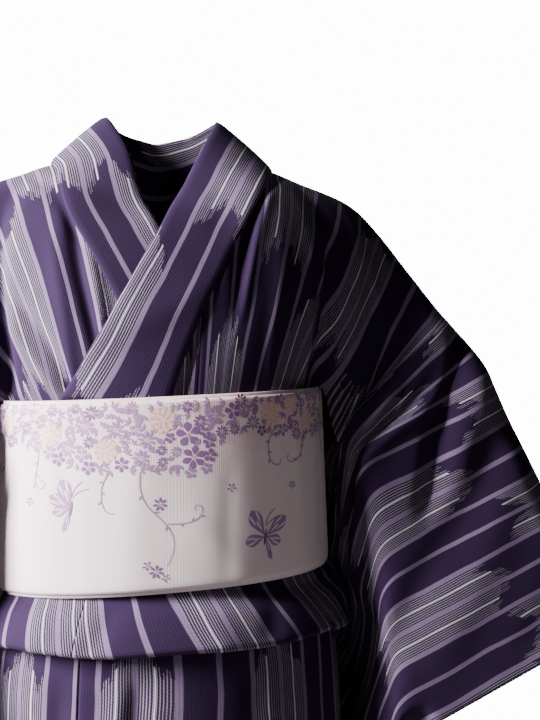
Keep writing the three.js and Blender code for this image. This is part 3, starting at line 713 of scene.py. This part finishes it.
def buildOkumiUpper(name, mirror, layer):
    # the narrow strip between the collar and the front's straight edge
    fall = mix(overlapTip + 0.01, 1, np.linspace(0, 1, bodyLook["okumiAlong"]))[None, :]
    seam = float(neckline(np.array([overlapTip]), mirror)[0]) - cut["seamGap"]
    edge = neckline(fall, mirror)
    across = mix(edge, seam, np.linspace(0, 1, bodyLook["okumiAcross"])[:, None])
    fall = np.broadcast_to(fall, across.shape)
    points = bodyLayer(across, fall, 1, np.full(across.shape, float(layer)))
    points[..., 0] *= mirror
    warp = bodyWarp(across, fall)
    fold = creaseField(across, warp, bodyLook[name.replace("okumi", "body")])
    fold = fold * (1 - smoothStep(seam - 8, seam, across)) * smoothStep(0, 10, across - edge)
    shift = bodyLook["okumiShift"]
    uv = np.stack([across + shift[0], mirror * (warp + shift[1])], -1)
    clothPiece(name, points, uv, "cloth", growth=mirror, relief=fold)


buildBody("body_left_upper", 1, cut["overLayer"])
buildBody("body_right_upper", -1, 0)
buildOkumiUpper("okumi_left_upper", 1, cut["overLayer"])
buildOkumiUpper("okumi_right_upper", -1, 0)
print("upper body ready")


# collar

collarLook = {
    "rows": 260, "columns": 30, "cover": 11, "neckLayer": 2.7, "tuckedUnder": 2.6, "standing": 3,
    "cutWidth": 72, "edgeRoll": 1.4, "rollWidth": 3, "uvShift": (3, 36)}


def collarPoint(fall, share, mirror):
    # from the outer edge on the body cloth to the inner edge: standing off the neck above, laid on
    # the chest below
    side = 1 if fall >= 0 else -1
    chestLayer = cut["overCollar"] if mirror > 0 else cut["underCollar"]
    under = collarLook["tuckedUnder"] * share * smoothStep(0.6, 0.9, fall) if mirror < 0 else 0 * share
    layer = mix(collarLook["neckLayer"], chestLayer, smoothStep(0.15, 0.45, fall)) - under
    falls = np.full(share.shape, float(fall))
    edge = float(neckline(np.array([float(fall)]), mirror)[0]) + collarLook["cover"] * float(
        smoothStep(-0.5, -0.45, fall))
    outer = bodyLayer(np.full(share.shape, edge), np.abs(falls), side, layer)
    inner = placeIn(collarRows, "fall", falls)
    if mirror < 0:
        inner[..., 0] += cut["underShift"] * smoothStep(0.15, 0.5, fall)
    stand = mix(outer, inner, share[..., None])
    stand[..., 2] += collarLook["standing"] * 4 * share * (1 - share)
    laid = float(smoothStep(0.36, 0.6, fall))
    if laid > 0:
        innerFall = float(fallAtHeight(inner[0, 2]))
        innerAcross = inner[0, 0] / float(chestShrink(innerFall))
        across = mix(edge, innerAcross, share)
        stand = mix(stand, bodyLayer(across, mix(fall, innerFall, share), 1, layer), laid)
    stand[..., 0] *= mirror
    return stand


def buildCollar():
    # one band from the right front round the back of the neck to the left front
    share = np.linspace(0, 1, collarLook["columns"])
    places = np.linspace(-1, 1, collarLook["rows"])
    rows = [collarPoint(mix(-0.5, 1, abs(p) ** 0.9), share, -1 if p < 0 else 1) for p in places]
    points = np.stack(rows, 1)
    middle = points[len(share) // 2]
    length = np.concatenate([[0], np.cumsum(np.linalg.norm(np.diff(middle, axis=0), axis=-1))])
    s, t = np.broadcast_arrays(share[:, None] * collarLook["cutWidth"], length[None, :])
    rollWidth = collarLook["rollWidth"]
    roll = np.exp(-(s / rollWidth) ** 2) + np.exp(-((collarLook["cutWidth"] - s) / rollWidth) ** 2)
    far = length[-1]
    folds = creaseField(s, t, creases(
        (10, 60, 60, 110, 14, 1.4, 2), (60, 190, 20, 260, 16, -1.6, 2),
        (14, far * 0.5, 60, far * 0.5 + 30, 22, 1.2, 0), (50, far - 250, 16, far - 190, 16, -1.6, 2),
        (12, far - 130, 60, far - 60, 14, 1.3, 2)))
    uv = np.stack([s + collarLook["uvShift"][0], t + collarLook["uvShift"][1]], -1)
    clothPiece("collar", points, uv, "cloth", growth=-1, wall=cut["collarWall"],
               relief=folds - collarLook["edgeRoll"] * roll)


buildCollar()
print("collar ready")


# skirt and tuck

squareness = 2.25


def signedPower(value, power):
    # the power of the value's size, with the value's sign
    return np.sign(value) * np.abs(value) ** power


def roundedRing(angle, halfWidth, halfDepth):
    # x and y on a superellipse, round from the centre back to the wearer's left
    return (halfWidth * signedPower(np.sin(angle), 2 / squareness),
            halfDepth * signedPower(np.cos(angle), 2 / squareness))


def ringPoint(girth, z, layer):
    # the body's ring at a height, `girth` round from the centre back, moved out by a layer
    angle = 2 * math.pi * girth / cut["hipGirth"]
    x, y = roundedRing(angle, tableColumn(bodyRings, "z", "halfWidth", z) + layer,
                       tableColumn(bodyRings, "z", "halfDepth", z) + layer)
    return vec(x, y, z)


def panelGirth(start, end, columns):
    # places round the ring between two seams, half a seam's gap inside each
    return mix(start + cut["seamGap"] / 2, end - cut["seamGap"] / 2, np.linspace(0, 1, columns))[:, None]


skirtLook = {
    "columns": 90, "rows": 150, "topZ": -404, "crowding": 1.25, "deepest": -2.6, "edgeDrop": 0.7,
    "creases": creases(
        (330, -470, 340, -900, 16, -2.0, 8), (420, -430, 404, -760, 12, -2.2, 6),
        (498, -440, 506, -900, 6, -3.6, 3), (512, -440, 520, -900, 7, 2.4, 3),
        (470, -520, 452, -1200, 18, 1.8, -8), (560, -440, 556, -820, 10, -2.2, 4),
        (610, -600, 628, -1200, 16, -2.0, 6),
        (380, -900, 392, -1290, 20, 2.2, 6), (60, -440, 70, -800, 14, -2.6, 5),
        (150, -600, 138, -1290, 20, -2.2, 8), (240, -450, 230, -1000, 16, -2.4, 6),
        (-80, -450, -70, -820, 14, -2.4, 5), (-170, -640, -182, -1290, 20, -2.2, 8),
        (-250, -450, -238, -1000, 15, -2.4, 6), (10, -560, 4, -1200, 12, 1.6, 3)),
}


def buildSkirtPanel(name, start, end, layer, shift):
    # a panel between two girths, straight down to the hem
    down = np.linspace(0, 1, skirtLook["rows"]) ** skirtLook["crowding"]
    z = mix(skirtLook["topZ"], cut["hemZ"], down)[None, :]
    girth, z = np.broadcast_arrays(panelGirth(start, end, skirtLook["columns"]), z)
    relief = creaseField(girth, z, skirtLook["creases"]) * smoothStep(-452, -500, z)
    edges = smoothStep(0, 10, girth - start) * smoothStep(0, 10, end - girth)
    relief = np.maximum(relief, skirtLook["deepest"]) * edges
    relief = relief - skirtLook["edgeDrop"] * (1 - smoothStep(0, 4, end - girth))
    uv = np.stack([girth + shift, -z], -1)
    clothPiece(name, ringPoint(girth, z, layer), uv, "cloth", outer=1,
               relief=relief * (layer != cut["skirtUnder"]))


sideSeam = cut["backWidth"]
frontSeam = sideSeam + cut["frontWidth"]
frontEdge = frontSeam + cut["overlapWidth"]
skirtPanels = table(
    "name start end layer shift",
    ("skirt_back_left", 0, sideSeam, 0, 0), ("skirt_back_right", -sideSeam, 0, 0, 20),
    ("skirt_front_right", -frontSeam, -sideSeam, cut["skirtUnder"], 5),
    ("skirt_okumi_right", -frontEdge, -frontSeam, cut["skirtUnder"], 11),
    ("skirt_front_left", sideSeam, frontSeam, cut["skirtOver"], 8),
    ("skirt_okumi_left", frontSeam, frontEdge, cut["skirtOver"], 17))
for row in skirtPanels:
    buildSkirtPanel(**row)

tuckPath = table(
    "along z layer", (-13, -384, 8), (10, -407, 14), (27, -424, 19), (43.5, -440, 21.5),
    (48, -444, 21.5), (53, -446, 18), (58, -444, 14.5), (66.5, -436, 12.5), (87, -416, 11))
tuckWaves = table("height length phase", (2.2, 46, 0), (1.3, 19, 2))
tuckLook = {
    "columns": 110, "rows": 60, "lean": 0.35, "sideBulge": 12, "waveDrop": 0.8, "lower": 2.0,
    "uvShift": (50, 350),
    "creases": creases(
        (318, 6, 330, 50, 9, 1.6, 2), (352, 10, 340, 52, 8, -2.2, 2),
        (398, 4, 412, 44, 10, -1.8, 3), (452, 8, 446, 50, 12, 1.4, 2), (520, 6, 534, 48, 9, -1.8, 2),
        (590, 8, 578, 50, 10, 1.6, 3), (640, 4, 650, 46, 8, -2.0, 2), (40, 6, 50, 50, 10, -1.8, 2),
        (110, 8, 100, 48, 12, 1.6, 2), (180, 6, 192, 50, 9, -2.0, 2), (250, 6, 244, 48, 10, 1.8, 2),
        (-60, 6, -52, 50, 10, -1.8, 2), (-130, 8, -140, 48, 12, 1.6, 2), (-210, 6, -200, 50, 9, -2.0, 2)),
}


def buildTuckPanel(name, start, end, shift):
    # down from under the obi, round the fold and up again inside
    along = np.linspace(tuckPath[0]["along"], tuckPath[-1]["along"], tuckLook["rows"])[None, :]
    girth, along = np.broadcast_arrays(panelGirth(start, end, tuckLook["columns"]), along)
    z = tableColumn(tuckPath, "along", "z", along)
    layer = tableColumn(tuckPath, "along", "layer", along)
    sideways = smoothStep(0.86, 1, np.abs(np.sin(2 * math.pi * girth / cut["hipGirth"])))
    bulge = smoothStep(-13, 2, along) * (1 - smoothStep(20, 40, along))
    layer = layer + tuckLook["sideBulge"] * sideways * bulge
    wave = sum(row["height"] * np.sin(girth / row["length"] + row["phase"]) for row in tuckWaves)
    outside = smoothStep(6, 30, along) * (1 - smoothStep(50, 56, along))
    relief = creaseField(girth, along, tuckLook["creases"]) * outside
    points = ringPoint(girth, z, layer)
    nearFold = smoothStep(10, 44, along) * (1 - smoothStep(60, 80, along))
    points[..., 2] += (tuckLook["waveDrop"] * wave - tuckLook["lower"]) * nearFold
    middle, downTo = tuckLook["uvShift"]
    uv = np.stack([girth + shift + tuckLook["lean"] * (along - middle), along + downTo], -1)
    clothPiece(name, points, uv, "cloth", outer=1, relief=relief)


tuckPanels = table(
    "name start end shift", ("tuck_back_left", 0, sideSeam, 12), ("tuck_back_right", -sideSeam, 0, 3),
    ("tuck_front_left", sideSeam, frontSeam, 20),
    ("tuck_okumi_left", frontSeam, cut["hipGirth"] - sideSeam, 9))
for row in tuckPanels:
    buildTuckPanel(**row)
print("skirt and tuck ready")


# obi and bow

obi = {
    "topZ": -226, "bottomZ": -395, "topSlope": 0.04, "bottomSlope": 0.05, "halfWidth": 158,
    "halfDepth": 116.5, "lowerGain": 7, "depthGain": 0.3, "meanRadius": 150, "edgeRoll": 0.8,
    "rollWidth": 2.5, "columns": 320, "rows": 60,
    "creases": creases(
        (41, 70, 38, 165, 8, -0.55, 1), (-20, 40, -30, 170, 16, 0.9, 3),
        (-92, 20, -80, 150, 12, -0.8, 3), (118, 10, 126, 160, 10, 0.9, 2), (10, 110, 60, 165, 14, 0.8, 2),
        (-150, 20, -146, 160, 10, -0.8, 1), (170, 30, 164, 150, 9, -0.9, 2)),
}


def obiPoint(angle, down, inset, lift):
    # superellipse ring that widens a little downwards; its edges climb to the wearer's left
    share = down / (obi["topZ"] - obi["bottomZ"])
    gain = obi["lowerGain"] * share
    x, y = roundedRing(angle, obi["halfWidth"] + gain - inset + lift,
                       obi["halfDepth"] + gain * obi["depthGain"] - inset + lift)
    return vec(x, y, mix(obi["topZ"] + obi["topSlope"] * x, obi["bottomZ"] + obi["bottomSlope"] * x, share))


def obiRelief(s, down):
    # soft creases, and both edges rolled a little inwards
    height = obi["topZ"] - obi["bottomZ"]
    roll = np.exp(-(down / obi["rollWidth"]) ** 2) + np.exp(-((height - down) / obi["rollWidth"]) ** 2)
    return creaseField(s, down, obi["creases"]) - obi["edgeRoll"] * roll


def closedUv(uv, around):
    # the cloth's places with the first row once more, one whole turn on
    return np.concatenate([uv, uv[:1] + np.array([around, 0])], 0)


def buildObiTurn(name, inset, peek):
    # one turn from edge to edge; peek lets both edges of the inner one stand past the outer one's
    angle = np.linspace(0, 2 * math.pi, obi["columns"], endpoint=False)[:, None]
    height = obi["topZ"] - obi["bottomZ"]
    down = np.linspace(0, height, obi["rows"])[None, :]
    angle, down = np.broadcast_arrays(angle, down)
    points = obiPoint(angle, down, inset, 0)
    points[..., 2] += peek * (1 - 2 * down / height)
    front = (angle - math.pi) * obi["meanRadius"]
    relief = obiRelief(-front, down) * (inset == 0)
    uv = closedUv(np.stack([front, down], -1), 2 * math.pi * obi["meanRadius"])
    clothPiece(name, points, uv, "obi_cloth", outer=1, ring=True, wall=cut["obiWall"], relief=relief)


buildObiTurn("obi_wrap_inner", 2.6, 3.5)
buildObiTurn("obi_wrap_outer", 0, 0)

bow = {
    "reach": 158, "start": 4, "height": 168, "z": -300, "droop": 26, "backY": 119.6, "offObi": 6, "depth": 42,
    "curl": 9, "outerLean": 12, "innerLean": 6, "turnLength": 330, "columns": 120, "rows": 70,
    "knotWidth": 62, "knotHeight": 96, "knotRadius": 38, "knotOver": 4, "pinch": 22, "pleatDepth": 2.2,
    "creases": creases(
        (10, -30, 130, -60, 8, -2.2, 4), (10, 0, 140, 6, 9, 1.8, 3), (10, 30, 120, 66, 8, -2.2, -4)),
}


def buildBowLoop(name, mirror):
    # a ribbon that leaves the knot outside, turns at its tip and comes back against the obi
    a, b = np.meshgrid(np.linspace(0, 1, bow["columns"]), np.linspace(0, 1, bow["rows"]), indexing="ij")
    turn = (1 - np.cos(a * math.pi)) / 2
    reach = np.sin(a * math.pi) ** 0.8
    spread = smoothStep(0.22, 0.9, reach)
    outside = a < 0.5
    lean = np.where(outside, bow["outerLean"], bow["innerLean"]) * spread * np.where(outside, 1, -0.3)
    x = mirror * (bow["start"] + (bow["reach"] - bow["start"]) * reach)
    gap = bow["depth"] - 8 - bow["curl"] * np.abs(1 - 2 * turn) * (1 - reach)
    y = bow["backY"] + bow["offObi"] + gap * (1 - turn) - lean + 6 * (b - 0.5) * spread
    height = mix(bow["knotHeight"] - bow["pinch"], bow["height"], spread)
    z = bow["z"] - bow["droop"] * spread * reach + height * (0.5 - b)
    gathered = (1 - smoothStep(0.1, 0.75, reach)) * smoothStep(0, 0.1, reach)
    pleats = np.sin(b * math.pi * 5 + 0.6) * bow["pleatDepth"] * gathered
    folds = creaseField(reach * 150, (b - 0.5) * bow["height"], bow["creases"]) * 0.8
    uv = np.stack([a * bow["turnLength"], b * bow["height"] + 60], -1)
    clothPiece(name, vec(x, y, z), uv, "obi_cloth", growth=-mirror, wall=cut["obiWall"],
               relief=pleats + folds)


def buildBowKnot():
    # a rounded band round the middle of the bow
    angle = np.linspace(0, 2 * math.pi, 96, endpoint=False)[:, None]
    b = np.linspace(0, 1, 40)[None, :]
    angle, b = np.broadcast_arrays(angle, b)
    halfDepth = bow["depth"] / 2 + bow["knotOver"]
    y = bow["backY"] + halfDepth + halfDepth * signedPower(np.cos(angle), 0.5)
    z = bow["z"] + bow["knotHeight"] / 2 * signedPower(np.sin(angle), 0.5)
    s = (b - 0.5) * bow["knotWidth"]
    folds = 0.9 * np.sin(s / 5.2 + 0.7) * np.exp(-(s / 26) ** 2)
    folds = folds - 0.8 * np.exp(-((np.abs(s) - bow["knotWidth"] / 2) / 2.5) ** 2)
    uv = closedUv(np.stack([angle * bow["knotRadius"] + 0 * b, s + 90], -1), 2 * math.pi * bow["knotRadius"])
    clothPiece("obi_bow_knot", vec(s, y, z), uv, "obi_cloth", growth=-1, ring=True, wall=cut["obiWall"],
               relief=folds)


buildBowLoop("obi_bow_left", 1)
buildBowLoop("obi_bow_right", -1)
buildBowKnot()
print("obi and bow ready")


# blossoms and butterflies on the obi's front

motif = {
    "lift": 2.22, "layerLift": 0.10, "seed": 11, "from": -205, "to": 215, "top": 3, "tries": 6000,
    "room": 0.8, "plumShare": 0.45, "measureDown": 80.0,
    "plum": (0.21, 0.08, 0.26), "lilac": (0.34, 0.18, 0.38), "peach": (0.72, 0.37, 0.33),
    "rose": (0.56, 0.27, 0.31), "mauve": (0.32, 0.18, 0.32), "pale": (0.72, 0.60, 0.68),
    "blush": (0.76, 0.52, 0.50), "finish": {"Roughness": 0.42, "Sheen Weight": 0.2},
}


def arcAngles():
    # distance along the obi's front from its middle to the wearer's left, summed in short steps, and
    # the angle round the obi that belongs to it
    angle = np.linspace(math.pi * 0.4, math.pi * 1.6, 2000)
    ring = obiPoint(angle, np.full(angle.shape, motif["measureDown"]), 0, 0)
    steps = np.linalg.norm(np.diff(ring[:, :2], axis=0), axis=1)
    length = np.concatenate([[0], np.cumsum(steps)])
    middle = np.interp(math.pi, angle, length)
    return middle - length[::-1], angle[::-1]


arcLengths, arcRing = arcAngles()
shapes = []


def addShape(s, t, colour, layer=0):
    # a flat outline, filled as a fan round its mean point
    shapes.append((np.asarray(s, float), np.asarray(t, float), colour, layer))


def addPetal(s, t, way, long, wide, colour, layer=0, widest=0.62):
    # a drop that starts at s, t and is widest at a share of its length
    q = np.linspace(0, 1, 8)
    half = wide / 2 * np.sin(math.pi * q ** (math.log(0.5) / math.log(widest))) ** 0.8
    along = np.concatenate([q, q[-2:0:-1]]) * long
    aside = np.concatenate([half, -half[-2:0:-1]])
    addShape(s + along * math.cos(way) - aside * math.sin(way),
             t + along * math.sin(way) + aside * math.cos(way), colour, layer)


def addRibbon(s, t, wide, colour, layer=0):
    # a line of changing width, as one outline for each of its steps
    way = np.arctan2(np.gradient(t), np.gradient(s))
    left = np.stack([s - np.sin(way) * wide / 2, t + np.cos(way) * wide / 2])
    right = np.stack([s + np.sin(way) * wide / 2, t - np.cos(way) * wide / 2])
    for k in range(len(s) - 1):
        outline = np.stack([left[:, k], left[:, k + 1], right[:, k + 1], right[:, k]], 1)
        addShape(outline[0], outline[1], colour, layer)


def addBlossom(s, t, size, petals, plump, colour, turn):
    # petals round a small eye
    for k in range(petals):
        way = turn + 2 * math.pi * k / petals
        addPetal(s + 0.16 * size * math.cos(way), t + 0.16 * size * math.sin(way), way, 0.84 * size,
                 plump * size, colour)
    ring = np.linspace(0, 2 * math.pi, 9)[:-1]
    addShape(s + 0.11 * size * np.cos(ring), t + 0.11 * size * np.sin(ring), motif["rose"])


def addRosette(s, t, size, turn):
    # a scalloped ground with three rings of short petals on it, smaller towards the middle
    around = np.linspace(0, 2 * math.pi, 61)[:-1]
    edge = size * (0.88 + 0.07 * np.cos(around * 11 - turn))
    addShape(s + edge * np.cos(around), t + edge * np.sin(around), motif["blush"])
    for ring, (reach, petals) in enumerate(((0.62, 11), (0.36, 8), (0.12, 5))):
        for k in range(petals):
            way = turn + ring * 0.3 + 2 * math.pi * k / petals
            addPetal(s + reach * size * math.cos(way), t + reach * size * math.sin(way), way,
                     0.3 * size, 0.2 * size, motif["peach"], 1)


def addLeaf(s, t, way, long, colour):
    # a slim drop, widest a little before its middle
    addPetal(s, t, way, long, long * 0.36, colour, 0, 0.45)


tendrilLeaves = ((10, 1), (19, -1), (27, 1))  # step on the tendril, and the side the leaf is on


def addTendril(row):
    # a line whose heading turns slowly and then faster, up to a curl, with leaves along it
    q = np.linspace(0, 1, 46)
    heading = np.radians(row["way"] - row["dip"] * np.sin(math.pi * q) ** 2 + row["curl"] * q ** 4)
    step = row["long"] / (len(q) - 1)
    s = row["s"] + np.cumsum(np.cos(heading)) * step
    t = row["t"] + np.cumsum(np.sin(heading)) * step
    addRibbon(s, t, 1.15 - 0.5 * q, motif["mauve"])
    for k, hand in tendrilLeaves:
        addLeaf(s[k], t[k], heading[k] + hand * 0.9, row["leaf"], motif["mauve"])


def addButterfly(s, t, size, wings):
    # each wing a filled drop with pale cells on it, then a body and two feelers
    for row in wings:
        angle = math.radians(row["way"])
        long, wide = row["long"] * size, row["wide"] * size
        addPetal(s, t, angle, long, wide, motif["lilac"], 0, 0.66)
        for aside, reach, share in ((-0.2, 0.42, 0.5), (0.2, 0.42, 0.5), (0, 0.2, 0.42)):
            out = reach * long
            addPetal(s + out * math.cos(angle + aside), t + out * math.sin(angle + aside),
                     angle + aside * 0.5, long * share, wide * 0.16, motif["pale"], 1)
    body = math.radians(100)
    addPetal(s - 0.3 * size * math.cos(body), t - 0.3 * size * math.sin(body), body, 0.6 * size, 0.1 * size,
             motif["plum"], 2)
    q = np.linspace(0, 1, 9)
    for hand in (0, 0.5):
        way = math.radians(-82) + hand + 0.9 * q
        step = 0.08 * size
        addRibbon(s + np.cumsum(np.cos(way)) * step, t - 0.26 * size + np.cumsum(np.sin(way)) * step,
                  0.7 + 0 * q, motif["plum"])


# what fills the band: many-petalled and round blossoms, then sprays of three leaves
fillers = table(
    "share small large petals plump", (0.34, 5.0, 7.6, 9, 0.34), (0.22, 5.0, 7.5, 5, 0.66),
    (0.44, 2.4, 4.2, 0, 0))


def spreadBand():
    # flowers and leaves thrown on the band one by one, each kept only where it finds room
    rng = np.random.default_rng(motif["seed"])
    for row in rosettes:
        addRosette(row["s"], row["t"], row["size"], row["s"])
    for row in largeBlossoms:
        addBlossom(row["s"], row["t"], row["size"], int(row["petals"]), 3.1 / row["petals"],
                   motif["plum"] if row["petals"] < 7 else motif["lilac"], row["t"])
    placed = np.array([[row["s"], row["t"], row["size"]] for row in rosettes + largeBlossoms])
    for k in range(motif["tries"]):
        s = rng.uniform(motif["from"], motif["to"])
        deep = float(tableColumn(bandDepth, "s", "deep", s))
        t = motif["top"] + deep * rng.uniform(0, 1) ** 1.1
        kind = rng.choice(len(fillers), p=[row["share"] for row in fillers])
        size = [rng.uniform(row["small"], row["large"]) for row in fillers][kind]
        apart = np.hypot(placed[:, 0] - s, placed[:, 1] - t)
        if (apart < motif["room"] * (placed[:, 2] + size)).any() or t < size * 0.5:
            continue
        placed = np.concatenate([placed, [[s, t, size]]])
        turn = rng.uniform(0, 2 * math.pi)
        colour = motif["plum"] if rng.uniform() < motif["plumShare"] else motif["lilac"]
        petals, plump = fillers[kind]["petals"], fillers[kind]["plump"]
        if petals:
            addBlossom(s, t, size, petals, plump, colour, turn)
            continue
        for hand, tint in ((-1, "lilac"), (0, "mauve"), (1, "lilac")):
            addLeaf(s, t, turn + hand * 0.9, size * 1.9, motif[tint])


def buildMotifs():
    # every outline becomes a fan on the obi, lifted just clear of the cloth
    spreadBand()
    for row in tendrils:
        addTendril(row)
    for row in butterflies:
        addButterfly(row["s"], row["t"], row["size"], openWings if row["open"] else closedWings)
    for row in strayBlossoms:
        addBlossom(row["s"], row["t"], row["size"], int(row["petals"]), 0.36, motif["plum"], 0.3)
    counts = [len(shape[0]) for shape in shapes]
    s = np.concatenate([np.append(shape[0], shape[0].mean()) for shape in shapes])
    t = np.concatenate([np.append(shape[1], shape[1].mean()) for shape in shapes])
    layer = np.repeat([shape[3] for shape in shapes], np.array(counts) + 1)
    colours = np.repeat([shape[2] + (1.0,) for shape in shapes], np.array(counts) + 1, axis=0)
    angle = np.interp(s, arcLengths, arcRing)
    lift = motif["lift"] + motif["layerLift"] * layer + obiRelief((math.pi - angle) * obi["meanRadius"], t)
    points = obiPoint(angle, t, 0, lift)
    faces, start = [], 0
    for count in counts:
        k = np.arange(count)
        fan = np.stack([np.full(count, start + count), start + (k + 1) % count, start + k], 1)
        faces.append(fan)
        start += count + 1
    faces = np.concatenate(faces)
    a, b, c = (points[faces[:, k]] for k in range(3))
    away = np.einsum("ij,ij->i", np.cross(b - a, c - a), (a + b + c) * np.array([1, 1, 0]))
    faces = np.where((away < 0)[:, None], faces[:, ::-1], faces)
    mesh = bpy.data.meshes.new("obiBlossoms")
    mesh.from_pydata((points * metre).tolist(), [], faces.tolist())
    tint = mesh.color_attributes.new("tint", "FLOAT_COLOR", "POINT")
    tint.data.foreach_set("color", colours.astype(np.float32).ravel())
    mesh.materials.append(makeThreadMaterial())
    piece = bpy.data.objects.new("obi_blossoms", mesh)
    bpy.context.scene.collection.objects.link(piece)
    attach(piece, "root")
    return piece


def makeThreadMaterial():
    # satin threads in the tint that each shape carries
    material, tree, shader = newMaterial("obiThread", motif["finish"])
    tint = tree.nodes.new("ShaderNodeAttribute")
    tint.attribute_name = "tint"
    tree.links.new(tint.outputs["Color"], shader.inputs["Base Color"])
    return material


bandDepth = table(
    "s deep", (-215, 26), (-143, 32), (-118, 40), (-95, 50), (-74, 57), (-40, 60), (0, 62), (28, 60),
    (40, 38), (52, 28), (75, 28), (105, 35), (130, 38), (160, 33), (225, 26))
rosettes = table(
    "s t size", (-11, 17, 13), (-61, 42, 12), (-114, 26, 12), (93, 17, 12.5), (138, 27, 11), (116, 10, 9),
    (-168, 16, 11), (180, 18, 11))
largeBlossoms = table(
    "s t size petals", (12, 31, 11.5, 5), (17, 52, 11, 6), (-47, 55, 7, 6), (54, 12, 8, 5),
    (-81, 20, 9.5, 9), (-25, 34, 8.5, 9), (-30, 50, 8, 9), (-53, 24, 8, 9), (-96, 39, 8.5, 9),
    (36, 15, 9, 8), (74, 24, 7, 9))
tendrils = table(
    "s t way dip curl long leaf", (-30, 60, 95, 52, 28, 96, 5), (-7, 110, 5, 10, -330, 50, 4),
    (-56, 60, 128, 30, -150, 46, 5), (-126, 38, 84, -30, -290, 52, 5), (95, 32, 118, 24, -230, 46, 4.5),
    (134, 38, 98, -20, 250, 46, 4.5), (-172, 30, 95, 20, 260, 44, 4), (172, 30, 84, -20, -260, 44, 4))
butterflies = table("s t size open", (-92, 92, 28, 0), (84, 130, 29, 1))
closedWings = table(
    "way long wide", (-112, 1.0, 0.5), (-152, 0.86, 0.42), (166, 0.66, 0.36), (108, 0.8, 0.22))
openWings = table(
    "way long wide", (-120, 1.0, 0.48), (-34, 0.98, 0.44), (168, 0.72, 0.4), (24, 0.62, 0.38),
    (76, 0.8, 0.2))
strayBlossoms = table(
    "s t size petals", (-13, 92, 6.5, 7), (-16, 152, 6.5, 7), (-24, 146, 4.5, 5), (-8, 158, 4, 5),
    (-134, 86, 4.5, 5), (52, 82, 4.5, 5), (116, 86, 4, 5))
blossoms = buildMotifs()
print("blossoms ready")
# floor, light and camera

studio = {"floorHalf": 1.6, "floorZ": -1.292, "floorGrey": 0.3, "fill": 0.016, "backdrop": 14.0}


def buildFloor():
    # a flat square of matt paper under the hem
    size, z, grey = studio["floorHalf"], studio["floorZ"], studio["floorGrey"]
    mesh = bpy.data.meshes.new("floor")
    corners = [(-size, -size, z), (size, -size, z), (size, size, z), (-size, size, z)]
    mesh.from_pydata(corners, [], [(0, 1, 2, 3)])
    paper = newMaterial("floorPaper", {"Base Color": (grey, grey, grey, 1), "Roughness": 0.9})[0]
    mesh.materials.append(paper)
    floor = bpy.data.objects.new("floor", mesh)
    bpy.context.scene.collection.objects.link(floor)


lamps = table(
    "name place target size power",
    ("key", (-1.5, -0.36, 0.3), (0, 0, -0.25), (0.5, 0.9), 235),
    ("front", (0.5, -2.6, 0.5), (0.1, 0, -0.5), (1.2, 1.2), 5.0),
    ("back", (1.6, 1.9, 1.0), (0, 0, -0.4), (1.6, 1.6), 3))


def addLamp(name, place, target, size, power):
    # a rectangle of light at its place, tilted and turned to face its target
    light = bpy.data.lights.new(name, "AREA")
    light.shape = "RECTANGLE"
    light.size, light.size_y = size
    light.energy = power
    lamp = bpy.data.objects.new(name, light)
    bpy.context.scene.collection.objects.link(lamp)
    lamp.location = place
    way = np.array(target, float) - np.array(place, float)
    tilt = math.atan2(math.hypot(way[0], way[1]), -way[2])
    lamp.rotation_euler = (tilt, 0, math.atan2(way[1], way[0]) - math.pi / 2)


def setWorld():
    # the camera sees a white studio; the cloth gets only part of that light
    world = bpy.data.worlds.new("studio")
    bpy.context.scene.world = world
    world.use_nodes = True
    tree = world.node_tree
    background = tree.nodes["Background"]
    background.inputs["Color"].default_value = (1, 1, 1, 1)
    path = tree.nodes.new("ShaderNodeLightPath")
    strength = tree.nodes.new("ShaderNodeMix")
    strength.inputs[2].default_value = studio["fill"]
    strength.inputs[3].default_value = studio["backdrop"]
    tree.links.new(path.outputs["Is Camera Ray"], strength.inputs[0])
    tree.links.new(strength.outputs[0], background.inputs["Strength"])


portrait = {"sensorHeight": 36, "lens": 55, "eye": (-0.104, -1.101, -0.190), "tilt": 90, "turn": -11}


def setCamera():
    # level with the chest and turned a little to the wearer's left
    camera = bpy.data.cameras.new("portrait")
    camera.sensor_fit = "VERTICAL"
    camera.sensor_height = portrait["sensorHeight"]
    camera.lens = portrait["lens"]
    eye = bpy.data.objects.new("portrait", camera)
    bpy.context.scene.collection.objects.link(eye)
    eye.location = portrait["eye"]
    eye.rotation_euler = (math.radians(portrait["tilt"]), 0, math.radians(portrait["turn"]))
    bpy.context.scene.camera = eye


buildFloor()
setWorld()
setCamera()
for row in lamps:
    addLamp(**row)
print("studio ready")
